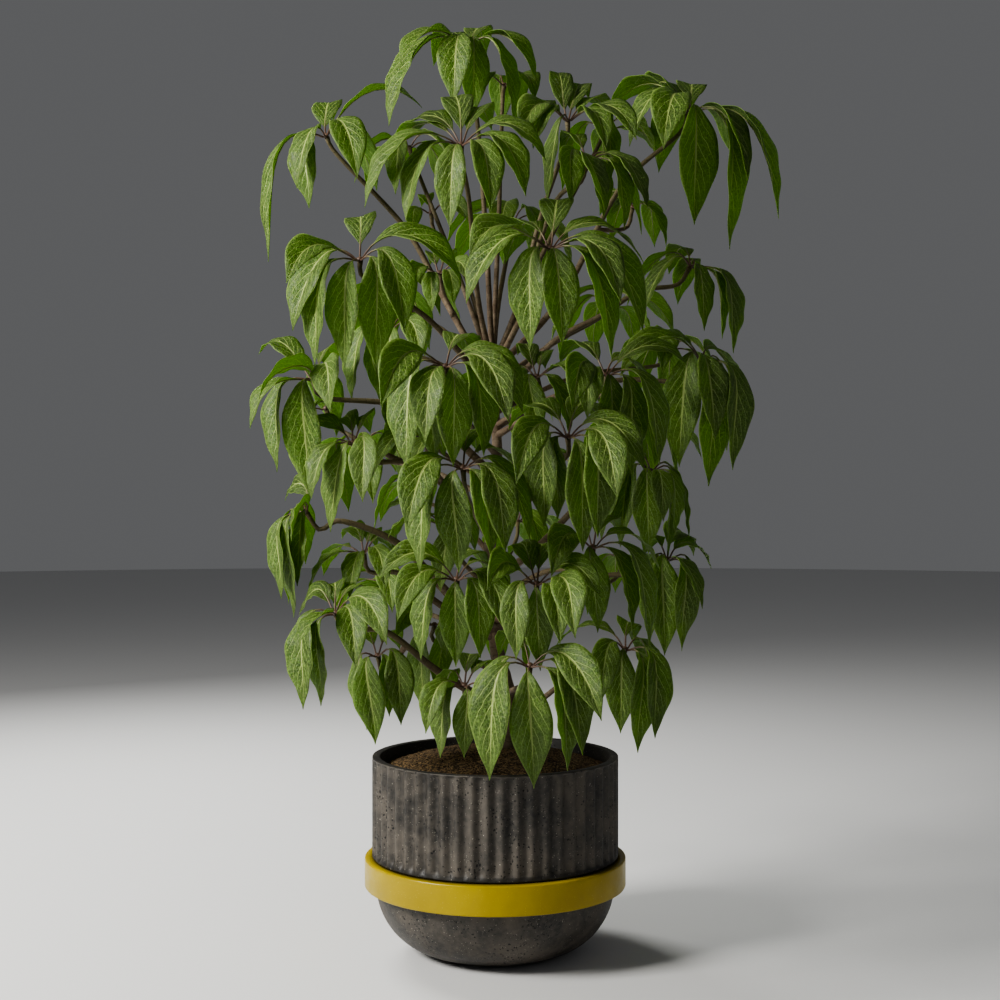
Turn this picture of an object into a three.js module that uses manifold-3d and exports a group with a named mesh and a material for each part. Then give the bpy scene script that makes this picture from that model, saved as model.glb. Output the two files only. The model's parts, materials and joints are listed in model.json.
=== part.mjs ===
import * as THREE from "three";
import { mergeVertices } from "three/addons/utils/BufferGeometryUtils.js";
import Module from "manifold-3d";

// A floor-standing umbrella plant in a round fluted planter, in millimetres, +Z up.
// The origin is the middle of the planter's flat foot, and -Y is the front.

// Planter: a round bowl under an upright fluted wall with a thin plain lip
const RIM_RADIUS = 200;
const RIM_HEIGHT = 313.5;
const LIP_HEIGHT = 4;
const LIP_BEVEL = 1;
const FLUTES = 54;
const FLUTE_DEPTH = 5;
const FLUTE_FOOT_HEIGHT = 151.7;
const SHOULDER_RADIUS = 195;
const BOWL_RADIUS = 194;
const BOWL_HEIGHT = 110;
const FOOT_RADIUS = 90;
const WALL = 13;
const FLOOR_THICKNESS = 16;
const HOLLOW_SHOULDER = 120;
const BOWL_STEPS = 5;
const ROUND_SIDES = 40;

// Band: a flat painted hoop round the top of the bowl
const BAND_OUTER_RADIUS = 212;
const BAND_BOTTOM = 105;
const BAND_TOP = 151.4;
const BAND_EDGE = 2.5;

// Clearance between pieces that touch on the real thing
const GAP = 0.3;

// Soil: a dome that stands a little above the rim in the middle
const SOIL_EDGE_HEIGHT = 293;
const SOIL_CROWN_HEIGHT = 328;
const SOIL_STEPS = 3;

// Stem: where the trunk stands in the soil
const TRUNK_PLACE = [17, 0];
const TRUNK_FOOT = 205;
const TRUNK_COLLAR = 334;
const TRUNK_RADIUS = 14;
const TRUNK_SIDES = 8;
const TRUNK_STEPS = 12;
const TRUNK_INSET = 0.5;
const TRUNK_TAPER = 0.55;
const BRANCH_SIDES = 5;
const BRANCH_STEP = 120;
const STALK_END_RADIUS = 3.4;
const STALK_RUN_IN = 38;

// Leaf heads: a small hub on the stalk's end, with slim leaflet stalks and folded blades
const HUB_RADIUS = 6;
const HUB_HEIGHT = 6;
const EVEN_SHARE = 0.7;
const MOST_EVENING = 0.9;
const OUT_SHARE = 0.2;
const LIFT = 2.1;
const LIFT_LOW = 0.2;
const HANG = 56;
const HANG_SLOPE = 32;
const HANG_RANGE = [-20, 85];
const HANDLE = 0.47;
const HANDLE_END = 0.47;
const BLADE_START = 0.13;
const BLADE_STATIONS = [0.42, 0.72];
const BLADE_WIDTH = 0.34;
const BLADE_FOLD = 0.2;
const SHAPE_LEAN = 0.92;
const SHAPE_FULLNESS = 1.2;
const SHAPE_TAPER = 0.15;
const SMALLEST_BLADE = 0.8;
const MIDRIB_RISE = 0.6;
const MIDRIB_DEPTH = 1.6;
const STALKLET_HALF = 1.5;
const FACE_UP = 1.5;
const FACE_STEPS = 20;
const REACH = 0.76;
const LEAST_CHORD = 0.45;
const SHALLOWEST = 0.16;
const ALONG_STALK = 0.93;
const DEEPEST_BACK = 0.6;
const BACK_DROP = 0.12;
const SIDE_SHARE = 0.35;
const RING_UNEVEN = 0.35;
const RING_DROP = [0.3, 0.65];
const CLEAR_WIDTH = 2;
const CLEAR_DEPTH = 1.6;
const CLEAR_OTHERS_FROM = 0.03;
const CLEAR_SIBLINGS_FROM = 0.13;
const CLEAR_SIBLINGS_WIDTH = 0.4;
const CLEAR_SIBLINGS_DEPTH = 0.3;

const COLOURS = {
  concrete: 0x5f5850,
  band: 0xd9b800,
  soil: 0x5a4128,
  bark: 0x6b5443,
  leaf: 0x5f8f2c,
};

// The trunk's course above the soil, from the collar up to where the top stalks fan out.
const TRUNK_COURSE = [
  [17, 0, 325], [26, 0, 391], [4, 0, 475], [-2, 0, 540], [-12, 0, 600],
  [-5, 0, 695], [3, 0, 809], [-4, 0, 900], [-5, 0, 955],
];

// Each head: hub place, the way it faces (turn from the front towards +X, then up), leaflet
// size, the stalk (where it leaves its parent, points it passes, radius there), and the
// leaflet tips beside and above the hub as seen from the front: those that come forward,
// those that stay level with the hub, and those that go back.
const HEADS = [
  { name: "crown", hub: [-45, -20, 1460], face: [-20, 80], size: 190,
    stalk: { from: "trunk", at: 0.99, by: [[-14, 0, 1135], [-28, 0, 1331]], radius: 5 },
    front: [[-125, -135], [-105, -60], [-20, -115], [75, -130]],
    side: [[10, -120], [110, -60]],
    back: [[-60, 25], [30, 45]] },
  { name: "01", hub: [-50, -230, 1255], face: [-5, 48], size: 190,
    stalk: { from: "trunk", at: 0.98, by: [[-27, -60, 1046], [-39, -160, 1180]], radius: 5 },
    front: [[-140, -100], [-80, -120], [-15, -135], [45, -115], [95, -90]],
    side: [[125, -30]],
    back: [[45, 70], [-10, 95], [-110, 40], [-115, -5]] },
  { name: "02", hub: [-275, -10, 1320], face: [-60, 55], size: 190,
    stalk: { from: "trunk", at: 0.9, by: [[-82, 0, 1054], [-147, 0, 1171]], radius: 6 },
    front: [[-90, -210], [-35, -105], [-20, -130], [60, -90]],
    back: [[155, 75], [75, -70], [0, 75]] },
  { name: "03", hub: [-200, -230, 1085], face: [-18, 48], size: 190,
    stalk: { from: "trunk", at: 0.88, by: [[-102, -110, 1008]], radius: 5.5 },
    front: [[-95, -50], [-95, -110], [-75, -160], [-20, -165], [15, -165], [70, -115]],
    side: [[150, -35]],
    back: [[35, -80], [-10, 75]] },
  { name: "04", hub: [115, -70, 1330], face: [10, 65], size: 170,
    stalk: { from: "trunk", at: 0.97, by: [[27, 10, 1006], [72, -20, 1180]], radius: 5 },
    front: [[90, -50], [-75, -50], [-45, -65], [-20, -130], [55, -70]],
    back: [[-20, 100], [-85, 30], [75, 45], [40, 80]] },
  { name: "05", hub: [140, -170, 1245], face: [25, 55], size: 150,
    stalk: { from: "trunk", at: 0.96, by: [[40, -40, 1049], [93, -110, 1190]], radius: 5 },
    front: [[-30, -80], [10, -90], [35, -95], [55, -110], [90, -80]],
    back: [[85, -110], [-35, 45]] },
  { name: "06", hub: [315, 0, 1360], face: [50, 60], size: 220,
    stalk: { from: "trunk", at: 0.95, by: [[106, 20, 1057], [205, 20, 1240]], radius: 6 },
    front: [[-55, -90], [5, -190], [62, -230], [85, -125], [142, -180]],
    side: [[-100, -65]],
    back: [[20, 60], [-35, -70], [105, -95], [-75, 65], [-125, 45]] },
  { name: "07", hub: [80, -300, 1090], face: [3, 50], size: 200,
    stalk: { from: "trunk", at: 0.94, by: [[40, -110, 1010]], radius: 5.5 },
    front: [[-115, -30], [-120, -85], [-30, -150], [15, -145], [85, -160], [95, -90], [130, -125]],
    back: [[-65, -5], [-10, -80], [45, -115], [140, -15], [-40, 95], [20, 85]] },
  { name: "08", hub: [315, -30, 1105], face: [60, 50], size: 160,
    stalk: { from: "trunk", at: 0.84, by: [[89, -10, 980], [169, -20, 1025], [233, -25, 1065]], radius: 6 },
    front: [[-80, -85], [15, -110], [35, -120], [50, -145]],
    back: [[-65, 10], [-10, -50], [-100, -60], [-25, 20]] },
  { name: "09", hub: [-70, -310, 920], face: [-5, 50], size: 190,
    stalk: { from: "trunk", at: 0.74, by: [[-40, -140, 845]], radius: 5 },
    front: [[-85, -65], [-55, -150], [-25, -115], [0, -145], [55, -130], [90, -85]],
    side: [[110, -70], [-15, -145]],
    back: [[-20, 45], [40, 30], [30, -90]] },
  { name: "10", hub: [-280, -150, 915], face: [-45, 50], size: 175,
    stalk: { from: "trunk", at: 0.7, by: [[-80, -60, 839], [-154, -100, 877]], radius: 7 },
    front: [[-65, -40], [-85, -80], [-50, -145], [-15, -175], [40, -60]],
    back: [[-95, 65], [25, -85], [-10, 50], [25, 35]] },
  { name: "11", hub: [-215, -190, 815], face: [-30, 55], size: 150,
    stalk: { from: "trunk", at: 0.6, by: [[-64, -60, 736], [-132, -120, 785]], radius: 6 },
    front: [[-55, -85], [-30, -135], [10, -90]],
    back: [[-10, -105], [-20, 30], [20, 35], [-85, 5]] },
  { name: "12", hub: [165, -220, 915], face: [15, 55], size: 170,
    stalk: { from: "trunk", at: 0.78, by: [[100, -120, 883]], radius: 5 },
    front: [[-55, -60], [-20, -70], [65, -135], [35, -150]],
    side: [[10, -120]],
    back: [[-65, 45], [85, -35], [125, 35]] },
  { name: "13", hub: [105, -300, 820], face: [5, 52], size: 180,
    stalk: { from: "trunk", at: 0.6, by: [[53, -150, 755]], radius: 7 },
    front: [[-75, -70], [-35, -130], [20, -165], [40, -145], [65, -90]],
    side: [[95, -50], [-15, -120]],
    back: [[-85, 35], [55, 40]] },
  { name: "14", hub: [-45, -320, 775], face: [-6, 50], size: 185,
    stalk: { from: "trunk", at: 0.58, by: [[-35, -150, 715]], radius: 5 },
    front: [[-75, -90], [-60, -150], [-5, -150], [40, -125], [60, -120], [95, -105]],
    back: [[100, -45], [-20, 50], [20, 45]] },
  { name: "15", hub: [-295, -110, 710], face: [-60, 50], size: 150,
    stalk: { from: "trunk", at: 0.33, by: [[-65, -30, 567], [-151, -70, 657], [-240, -95, 695]], radius: 9 },
    front: [[-35, -135], [-30, -165], [-10, -115]],
    side: [[-15, -45]],
    back: [[-30, -145], [-10, -85], [-45, 35]] },
  { name: "16", hub: [145, -240, 660], face: [15, 58], size: 165,
    stalk: { from: "trunk", at: 0.42, by: [[75, -110, 615]], radius: 5 },
    front: [[-65, -40], [5, -125], [55, -125], [80, -150]],
    back: [[-30, -75], [105, -40], [0, 45], [45, 35]] },
  { name: "17", hub: [-55, -290, 615], face: [-8, 55], size: 165,
    stalk: { from: "trunk", at: 0.34, by: [[-35, -140, 555]], radius: 5 },
    front: [[-80, -55], [-50, -115], [0, -125], [35, -110], [75, -80]],
    side: [[-110, 0]],
    back: [[80, -45], [45, 20]] },
  { name: "18", hub: [60, -310, 610], face: [4, 55], size: 160,
    stalk: { from: "trunk", at: 0.36, by: [[40, -150, 550]], radius: 5 },
    front: [[-70, -5], [-30, -105], [5, -125], [30, -80], [50, -70]],
    side: [[90, -20]],
    back: [[-30, 55], [15, 50]] },
  { name: "19", hub: [330, -50, 950], face: [55, 55], size: 200,
    stalk: { from: "trunk", at: 0.8, by: [[105, -20, 898], [201, -30, 921]], radius: 6 },
    front: [[-135, -30], [-40, -170], [-5, -200], [30, -175], [50, -145], [10, -130]],
    back: [[-130, 35], [-75, -105], [15, -200], [80, -50]] },
  { name: "20", hub: [-240, -200, 560], face: [-35, 50], size: 160,
    stalk: { from: "trunk", at: 0.1, by: [[-88, -70, 455], [-167, -140, 525]], radius: 8 },
    front: [[-45, -55], [-45, -125], [-30, -140], [-20, -140], [40, -75], [85, -40]],
    back: [[-55, -10], [60, 15], [0, 25]] },
  { name: "21", hub: [-45, -230, 455], face: [-6, 55], size: 130,
    stalk: { from: "trunk", at: 0.1, by: [[-20, -100, 415]], radius: 5 },
    front: [[-55, -65], [-35, -105], [0, -105], [25, -75]],
    back: [[-35, -40], [15, 35], [45, 10]] },
  { name: "22", hub: [50, -330, 495], face: [4, 52], size: 180,
    stalk: { from: "trunk", at: 0.16, by: [[35, -150, 440]], radius: 5.5 },
    front: [[-65, -130], [-45, -155], [5, -170], [40, -145], [60, -120]],
    side: [[85, -70]],
    back: [[-25, -75], [-45, 15]] },
  { name: "23", hub: [205, -90, 495], face: [35, 58], size: 160,
    stalk: { from: "trunk", at: 0.08, by: [[80, -30, 411], [143, -60, 462]], radius: 5 },
    front: [[-45, -75], [-10, -130], [5, -160], [30, -135]],
    back: [[-110, -5], [20, 15], [50, -75]] },
  { name: "24", hub: [275, -60, 635], face: [45, 58], size: 150,
    stalk: { from: "trunk", at: 0.38, by: [[128, -30, 583], [184, -45, 608]], radius: 6 },
    front: [[-30, -125], [-10, -150], [5, -140], [35, -130], [45, -75]],
    back: [[25, -150], [80, -20], [-30, 20], [45, 5]] },
  { name: "25", hub: [245, -90, 775], face: [30, 60], size: 140,
    stalk: { from: "trunk", at: 0.48, by: [[72, -30, 656], [167, -55, 750]], radius: 7 },
    front: [[0, -80], [35, -100], [-50, -120], [-20, -130], [-80, -110]],
    back: [[65, -110], [30, -135], [-50, -20]] },
  { name: "26", hub: [-185, -90, 485], face: [-30, 60], size: 140,
    stalk: { from: "20", at: 0.4, by: [], radius: 4 },
    front: [[0, -135], [-15, -115], [40, -105]],
    side: [[20, -95]],
    back: [[-35, 15], [30, 10]] },
  { name: "27", hub: [-210, -60, 645], face: [-30, 60], size: 130,
    stalk: { from: "trunk", at: 0.3, by: [[-89, -25, 559], [-152, -45, 610]], radius: 7 },
    front: [[-85, -65], [-15, -70], [30, -55]],
    back: [[-70, -40], [-30, 35], [-55, 60], [45, -5], [15, 20]] },
  { name: "28", hub: [-80, -90, 690], face: [-20, 60], size: 130,
    stalk: { from: "trunk", at: 0.46, by: [], radius: 4 },
    front: [[-90, 20], [-85, -20], [-5, -105]],
    back: [[-75, -35], [-55, -55], [60, -45], [15, 40]] },
  { name: "29", hub: [-100, 10, 525], face: [-10, 60], size: 130,
    stalk: { from: "trunk", at: 0.2, by: [], radius: 4 },
    front: [[-70, -15], [-45, -25], [35, -50]],
    side: [[-20, -145], [5, -110]] },
  { name: "30", hub: [65, -130, 920], face: [-5, 60], size: 140,
    stalk: { from: "trunk", at: 0.8, by: [], radius: 4 },
    front: [[80, -30], [95, -65], [60, -95], [0, -100]],
    back: [[-30, 55], [15, 35], [-45, -50]] },
  { name: "31", hub: [-170, -20, 1005], face: [-15, 55], size: 150,
    stalk: { from: "trunk", at: 0.83, by: [[-82, 0, 945]], radius: 4.5 },
    front: [[-15, -120], [5, -110], [55, -60], [-60, -120]],
    back: [[60, -25], [-10, 55], [-50, 35]] },
  { name: "32", hub: [-90, -28, 1095], face: [-15, 55], size: 110,
    stalk: { from: "02", at: 0.2, by: [], radius: 4 },
    front: [[-40, -35], [-10, -70], [25, -60], [50, -25]],
    back: [[-30, 35], [25, 40]] },
  { name: "33", hub: [-110, 120, 1220], face: [-20, 60], size: 110,
    stalk: { from: "trunk", at: 0.97, by: [[-50, 70, 1100]], radius: 4 },
    front: [[45, 0], [65, -25], [-30, -50], [20, -55]],
    back: [[-20, 35]] },
  { name: "34", hub: [15, 90, 1430], face: [10, 60], size: 150,
    stalk: { from: "trunk", at: 0.99, by: [[5, 60, 1180]], radius: 4.5 },
    front: [[-50, -55], [50, -50]],
    back: [[-5, -50], [30, -25]] },
  { name: "35", hub: [230, 70, 1220], face: [30, 60], size: 140,
    stalk: { from: "06", at: 0.4, by: [], radius: 4 },
    front: [[50, -75]],
    back: [[45, -55], [-30, -45], [-50, 5]] },
  { name: "36", hub: [-270, -60, 875], face: [-50, 55], size: 130,
    stalk: { from: "11", at: 0.55, by: [], radius: 4 },
    front: [[-25, -45], [-20, -145]],
    back: [[25, -35], [25, 25]] },
  { name: "37", hub: [-145, -90, 880], face: [-10, 60], size: 100,
    stalk: { from: "trunk", at: 0.68, by: [], radius: 4 },
    front: [[-20, -70], [-15, -90], [15, -75]],
    back: [[30, -55], [-30, -15]] },
  { name: "38", hub: [-105, -142, 820], face: [-10, 60], size: 110,
    stalk: { from: "11", at: 0.3, by: [], radius: 4 },
    front: [[-75, -45], [-15, -45]],
    back: [[10, -55], [25, -25]] },
  { name: "39", hub: [30, 260, 1230], face: [175, 50], size: 180, ring: 7,
    stalk: { from: "trunk", at: 0.98, by: [[5, 90, 1060]], radius: 5 } },
  { name: "40", hub: [-180, 230, 1100], face: [220, 50], size: 175, ring: 7,
    stalk: { from: "trunk", at: 0.92, by: [[-80, 110, 1010]], radius: 5 } },
  { name: "41", hub: [200, 240, 1080], face: [140, 50], size: 175, ring: 7,
    stalk: { from: "trunk", at: 0.9, by: [[90, 120, 990]], radius: 5 } },
  { name: "42", hub: [0, 310, 930], face: [180, 50], size: 180, ring: 7,
    stalk: { from: "trunk", at: 0.75, by: [[0, 150, 865]], radius: 5 } },
  { name: "43", hub: [250, 200, 860], face: [125, 52], size: 170, ring: 7,
    stalk: { from: "trunk", at: 0.68, by: [[125, 100, 805]], radius: 5 } },
  { name: "44", hub: [-230, 190, 830], face: [235, 52], size: 170, ring: 7,
    stalk: { from: "trunk", at: 0.66, by: [[-115, 90, 780]], radius: 5 } },
  { name: "45", hub: [40, 300, 690], face: [175, 52], size: 170, ring: 7,
    stalk: { from: "trunk", at: 0.45, by: [[20, 150, 625]], radius: 5 } },
  { name: "46", hub: [-200, 170, 590], face: [225, 55], size: 150, ring: 6,
    stalk: { from: "trunk", at: 0.3, by: [[-95, 80, 530]], radius: 5 } },
  { name: "47", hub: [220, 170, 620], face: [130, 55], size: 150, ring: 6,
    stalk: { from: "trunk", at: 0.33, by: [[110, 85, 555]], radius: 5 } },
  { name: "48", hub: [0, 230, 500], face: [180, 55], size: 150, ring: 6,
    stalk: { from: "trunk", at: 0.15, by: [[10, 110, 440]], radius: 5 } },
  { name: "49", hub: [185, 130, 1365], face: [150, 60], size: 165, ring: 6,
    stalk: { from: "trunk", at: 0.97, by: [[70, 50, 1120]], radius: 4.5 } },
  { name: "50", hub: [-150, 160, 1340], face: [215, 60], size: 160, ring: 6,
    stalk: { from: "trunk", at: 0.96, by: [[-60, 60, 1100]], radius: 4.5 } },
  { name: "51", hub: [150, 300, 790], face: [155, 55], size: 165, ring: 6,
    stalk: { from: "trunk", at: 0.6, by: [[70, 150, 735]], radius: 4.5 } },
  { name: "52", hub: [-140, 290, 760], face: [205, 55], size: 165, ring: 6,
    stalk: { from: "trunk", at: 0.56, by: [[-70, 140, 700]], radius: 4.5 } },
  { name: "53", hub: [300, 130, 990], face: [110, 55], size: 160, ring: 6,
    stalk: { from: "trunk", at: 0.83, by: [[140, 60, 935]], radius: 4.5 } },
];

// How a leaflet that would cross a neighbour is bent: tip moved away from the hub's depth or
// nearer, moved across, and shorter.
const BEND_SHORTER = [1, 0.88, 0.76];
const BEND_AWAY = [0, 18, -18, 36, -36, 60];
const BEND_ACROSS = [0, 12, -12];

const wasm = await Module();
wasm.setup();

const UP = new THREE.Vector3(0, 0, 1);
const vector = (p) => new THREE.Vector3(p[0], p[1], p[2]);
const radians = (degrees) => (degrees * Math.PI) / 180;
const clamp = (v, low, high) => Math.min(high, Math.max(low, v));

// A whole number gives the same draw from 0 to 1 each time.
function draw(seed) {
  let t = (seed + 0x6d2b79f5) | 0;
  t = Math.imul(t ^ (t >>> 15), t | 1);
  t ^= t + Math.imul(t ^ (t >>> 7), t | 61);
  return ((t ^ (t >>> 14)) >>> 0) / 4294967296;
}

// A closed geometry as a solid.
function solid(geometry) {
  const g = geometry.clone();
  g.deleteAttribute("normal");
  g.deleteAttribute("uv");
  const merged = mergeVertices(g, 1e-4);
  const triVerts = [];
  const index = merged.index.array;
  for (let i = 0; i < index.length; i += 3) {
    const [a, b, c] = [index[i], index[i + 1], index[i + 2]];
    if (a !== b && b !== c && a !== c) triVerts.push(a, b, c);
  }
  return new wasm.Manifold(
    new wasm.Mesh({
      numProp: 3,
      vertProperties: new Float32Array(merged.attributes.position.array),
      triVerts: new Uint32Array(triVerts),
    }),
  );
}

// A solid as a named mesh.
function node(name, body, colour, roughness) {
  const shape = body.getMesh();
  const geometry = new THREE.BufferGeometry();
  const position = new Float32Array(shape.vertProperties);
  geometry.setAttribute("position", new THREE.BufferAttribute(position, 3));
  geometry.setIndex(new THREE.BufferAttribute(new Uint32Array(shape.triVerts), 1));
  geometry.computeVertexNormals();
  const material = new THREE.MeshStandardMaterial({ color: colour, roughness, metalness: 0 });
  const mesh = new THREE.Mesh(geometry, material);
  mesh.name = name;
  return mesh;
}

// A solid turned about Z from [radius, height] points that start and end on the axis or close.
function turned(profile, sides) {
  const points = profile.map(([r, z]) => new THREE.Vector2(r, z));
  return solid(new THREE.LatheGeometry(points, sides).rotateX(Math.PI / 2));
}

// Points of a quarter ellipse from the foot (inner radius, bottom) up to (outer radius, top).
function bowlCurve(inner, outer, bottom, top, steps) {
  const points = [];
  for (let i = 0; i <= steps; i++) {
    const a = (Math.PI / 2) * (i / steps);
    points.push([inner + (outer - inner) * Math.sin(a), top - (top - bottom) * Math.cos(a)]);
  }
  return points;
}

// The planter's hollow, smaller all round by the clearance given.
function hollow(clear, top) {
  const radius = RIM_RADIUS - WALL - clear;
  const curve = bowlCurve(0, radius, FLOOR_THICKNESS + clear, HOLLOW_SHOULDER, BOWL_STEPS);
  return [...curve, [radius, top]];
}

function planter() {
  const outline = new THREE.Shape();
  for (let i = 0; i < FLUTES * 2; i++) {
    const a = (Math.PI * i) / FLUTES;
    const r = RIM_RADIUS - (i % 2) * FLUTE_DEPTH;
    if (i) outline.lineTo(r * Math.cos(a), r * Math.sin(a));
    else outline.moveTo(r, 0);
  }
  const lipBottom = RIM_HEIGHT - LIP_HEIGHT;
  const depth = lipBottom + 1 - FLUTE_FOOT_HEIGHT;
  const wall = new THREE.ExtrudeGeometry(outline, { depth, bevelEnabled: false });
  wall.translate(0, 0, FLUTE_FOOT_HEIGHT);
  const lip = turned(
    [
      [0, lipBottom], [RIM_RADIUS, lipBottom], [RIM_RADIUS, RIM_HEIGHT - LIP_BEVEL],
      [RIM_RADIUS - LIP_BEVEL, RIM_HEIGHT], [0, RIM_HEIGHT],
    ],
    ROUND_SIDES,
  );
  const bowl = turned(
    [
      [0, 0],
      ...bowlCurve(FOOT_RADIUS, BOWL_RADIUS, 0, BOWL_HEIGHT, BOWL_STEPS),
      [SHOULDER_RADIUS, BOWL_HEIGHT + 4], [SHOULDER_RADIUS, FLUTE_FOOT_HEIGHT + 5],
      [0, FLUTE_FOOT_HEIGHT + 5],
    ],
    ROUND_SIDES,
  );
  const inside = turned([...hollow(0, RIM_HEIGHT + 5), [0, RIM_HEIGHT + 5]], ROUND_SIDES);
  return bowl.add(solid(wall)).add(lip).subtract(inside);
}

function band() {
  const inner = SHOULDER_RADIUS + GAP;
  const outer = BAND_OUTER_RADIUS;
  return turned(
    [
      [inner, BAND_BOTTOM], [outer - BAND_EDGE, BAND_BOTTOM], [outer, BAND_BOTTOM + BAND_EDGE],
      [outer, BAND_TOP - BAND_EDGE], [outer - BAND_EDGE, BAND_TOP], [inner, BAND_TOP],
      [inner, BAND_BOTTOM],
    ],
    ROUND_SIDES,
  );
}

// The soil's height at a distance from the middle.
function soilHeight(r) {
  const share = r / (RIM_RADIUS - WALL);
  return SOIL_CROWN_HEIGHT - (SOIL_CROWN_HEIGHT - SOIL_EDGE_HEIGHT) * share * share;
}

// A straight upright column round the trunk's place.
function column(radius, bottom, top) {
  const geometry = new THREE.CylinderGeometry(radius, radius, top - bottom, TRUNK_SIDES);
  geometry.rotateX(Math.PI / 2);
  geometry.translate(TRUNK_PLACE[0], TRUNK_PLACE[1], (top + bottom) / 2);
  return solid(geometry);
}

function soil() {
  const edge = RIM_RADIUS - WALL - GAP;
  const dome = [];
  for (let i = 0; i <= SOIL_STEPS; i++) {
    const r = edge * (1 - i / SOIL_STEPS);
    dome.push([r, soilHeight(r)]);
  }
  const body = turned([...hollow(GAP, dome[0][1]), ...dome.slice(1)], ROUND_SIDES);
  return body.subtract(column(TRUNK_RADIUS + GAP, TRUNK_FOOT - GAP, SOIL_CROWN_HEIGHT + 20));
}

// A round tapered stem along a curve, closed at both ends.
function stem(curve, steps, startRadius, endRadius, sides) {
  const frames = curve.computeFrenetFrames(steps, false);
  const points = [];
  const faces = [];
  for (let i = 0; i <= steps; i++) {
    const centre = curve.getPointAt(i / steps);
    const radius = startRadius + ((endRadius - startRadius) * i) / steps;
    for (let j = 0; j < sides; j++) {
      const a = (2 * Math.PI * j) / sides;
      const side = frames.normals[i].clone().multiplyScalar(Math.cos(a) * radius);
      side.addScaledVector(frames.binormals[i], Math.sin(a) * radius);
      points.push(centre.x + side.x, centre.y + side.y, centre.z + side.z);
    }
  }
  for (let i = 0; i < steps; i++) {
    for (let j = 0; j < sides; j++) {
      const k = (j + 1) % sides;
      const [a, b, c, d] = [i * sides + j, i * sides + k, (i + 1) * sides + j, (i + 1) * sides + k];
      faces.push(a, b, d, a, d, c);
    }
  }
  const last = steps * sides;
  for (let j = 1; j < sides - 1; j++) faces.push(0, j + 1, j, last, last + j, last + j + 1);
  const geometry = new THREE.BufferGeometry();
  geometry.setAttribute("position", new THREE.Float32BufferAttribute(points, 3));
  geometry.setIndex(faces);
  return solid(geometry);
}

// The way a head faces, as a direction.
function facing([turn, rise]) {
  const [t, r] = [radians(turn), radians(rise)];
  return new THREE.Vector3(Math.sin(t) * Math.cos(r), -Math.cos(t) * Math.cos(r), Math.sin(r));
}

// The stems by name: the trunk's course, and each stalk from its parent to just under its hub.
function stemCourses() {
  const courses = new Map();
  courses.set("trunk", new THREE.CatmullRomCurve3(TRUNK_COURSE.map(vector), false, "catmullrom"));
  for (const head of HEADS) {
    const axis = facing(head.face);
    const hub = vector(head.hub);
    const start = courses.get(head.stalk.from).getPoint(head.stalk.at);
    const runIn = hub.clone().addScaledVector(axis, -STALK_RUN_IN);
    const end = hub.clone().addScaledVector(axis, -HUB_HEIGHT / 2 - GAP);
    const points = [start, ...head.stalk.by.map(vector), runIn, end];
    courses.set(head.name, new THREE.CatmullRomCurve3(points, false, "catmullrom"));
  }
  return courses;
}

function stems(courses) {
  const trunk = courses.get("trunk");
  const bodies = [
    column(TRUNK_RADIUS, TRUNK_FOOT, TRUNK_COLLAR),
    stem(trunk, TRUNK_STEPS, TRUNK_RADIUS - TRUNK_INSET, TRUNK_RADIUS * TRUNK_TAPER, TRUNK_SIDES),
  ];
  for (const head of HEADS) {
    const course = courses.get(head.name);
    const steps = Math.max(3, Math.round(course.getLength() / BRANCH_STEP));
    bodies.push(stem(course, steps, head.stalk.radius, STALK_END_RADIUS, BRANCH_SIDES));
  }
  return bodies;
}

// Where a head's leaflet tips are, from its own lists or evenly round its hub.
function tipsOf(head, number) {
  const tips = [];
  const reach = REACH * head.size;
  const deep = (x, z) =>
    Math.sqrt(Math.max(reach * reach - x * x - z * z, (SHALLOWEST * head.size) ** 2));
  for (const [x, z] of head.front ?? []) tips.push([x, -deep(x, z), z]);
  for (const [x, z] of head.side ?? []) tips.push([x, -deep(x, z) * SIDE_SHARE, z]);
  for (const [x, z] of head.back ?? []) {
    const low = z - BACK_DROP * head.size * clamp(z / (BACK_DROP * head.size), 0, 1);
    tips.push([x, Math.min(deep(x, low), DEEPEST_BACK * head.size), low]);
  }
  for (let i = 0; i < (head.ring ?? 0); i++) {
    const seed = number * 100 + i * 7;
    const turn = (2 * Math.PI * (i + RING_UNEVEN * draw(seed))) / head.ring + number;
    const drop = RING_DROP[0] + (RING_DROP[1] - RING_DROP[0]) * draw(seed + 1);
    const out = Math.sqrt(reach * reach - (drop * head.size) ** 2);
    tips.push([out * Math.sin(turn), -out * Math.cos(turn), -drop * head.size]);
  }
  const axis = facing(head.face);
  return tips.map(vector).filter((tip) => tip.dot(axis) > -ALONG_STALK * tip.length());
}

// Two directions square to a head's axis: the first level, the second up the head's face.
function headPlane(axis) {
  const level = UP.clone().cross(axis).normalize();
  return [level, axis.clone().cross(level)];
}

// The turns about the axis at which a head's leaflets leave the hub: the way each tip lies,
// drawn towards even spacing. Gives the leaflets in that order.
function rootsOf(axis, tips) {
  const [level, rise] = headPlane(axis);
  const roots = tips.map((tip) => ({ tip, turn: Math.atan2(tip.dot(rise), tip.dot(level)) }));
  roots.sort((a, b) => a.turn - b.turn);
  const step = (2 * Math.PI) / roots.length;
  const phase = roots.reduce((sum, root, i) => sum + root.turn - i * step, 0) / roots.length;
  roots.forEach((root, i) => {
    root.turn += clamp(EVEN_SHARE * (phase + i * step - root.turn), -MOST_EVENING, MOST_EVENING);
  });
  return roots.map((root, i) => {
    const next = roots[(i + 1) % roots.length].turn + (i + 1 < roots.length ? 0 : 2 * Math.PI);
    return { ...root, edge: (root.turn + next) / 2 };
  });
}

function radial(axis, turn) {
  const [level, rise] = headPlane(axis);
  return level.multiplyScalar(Math.cos(turn)).addScaledVector(rise, Math.sin(turn));
}

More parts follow.
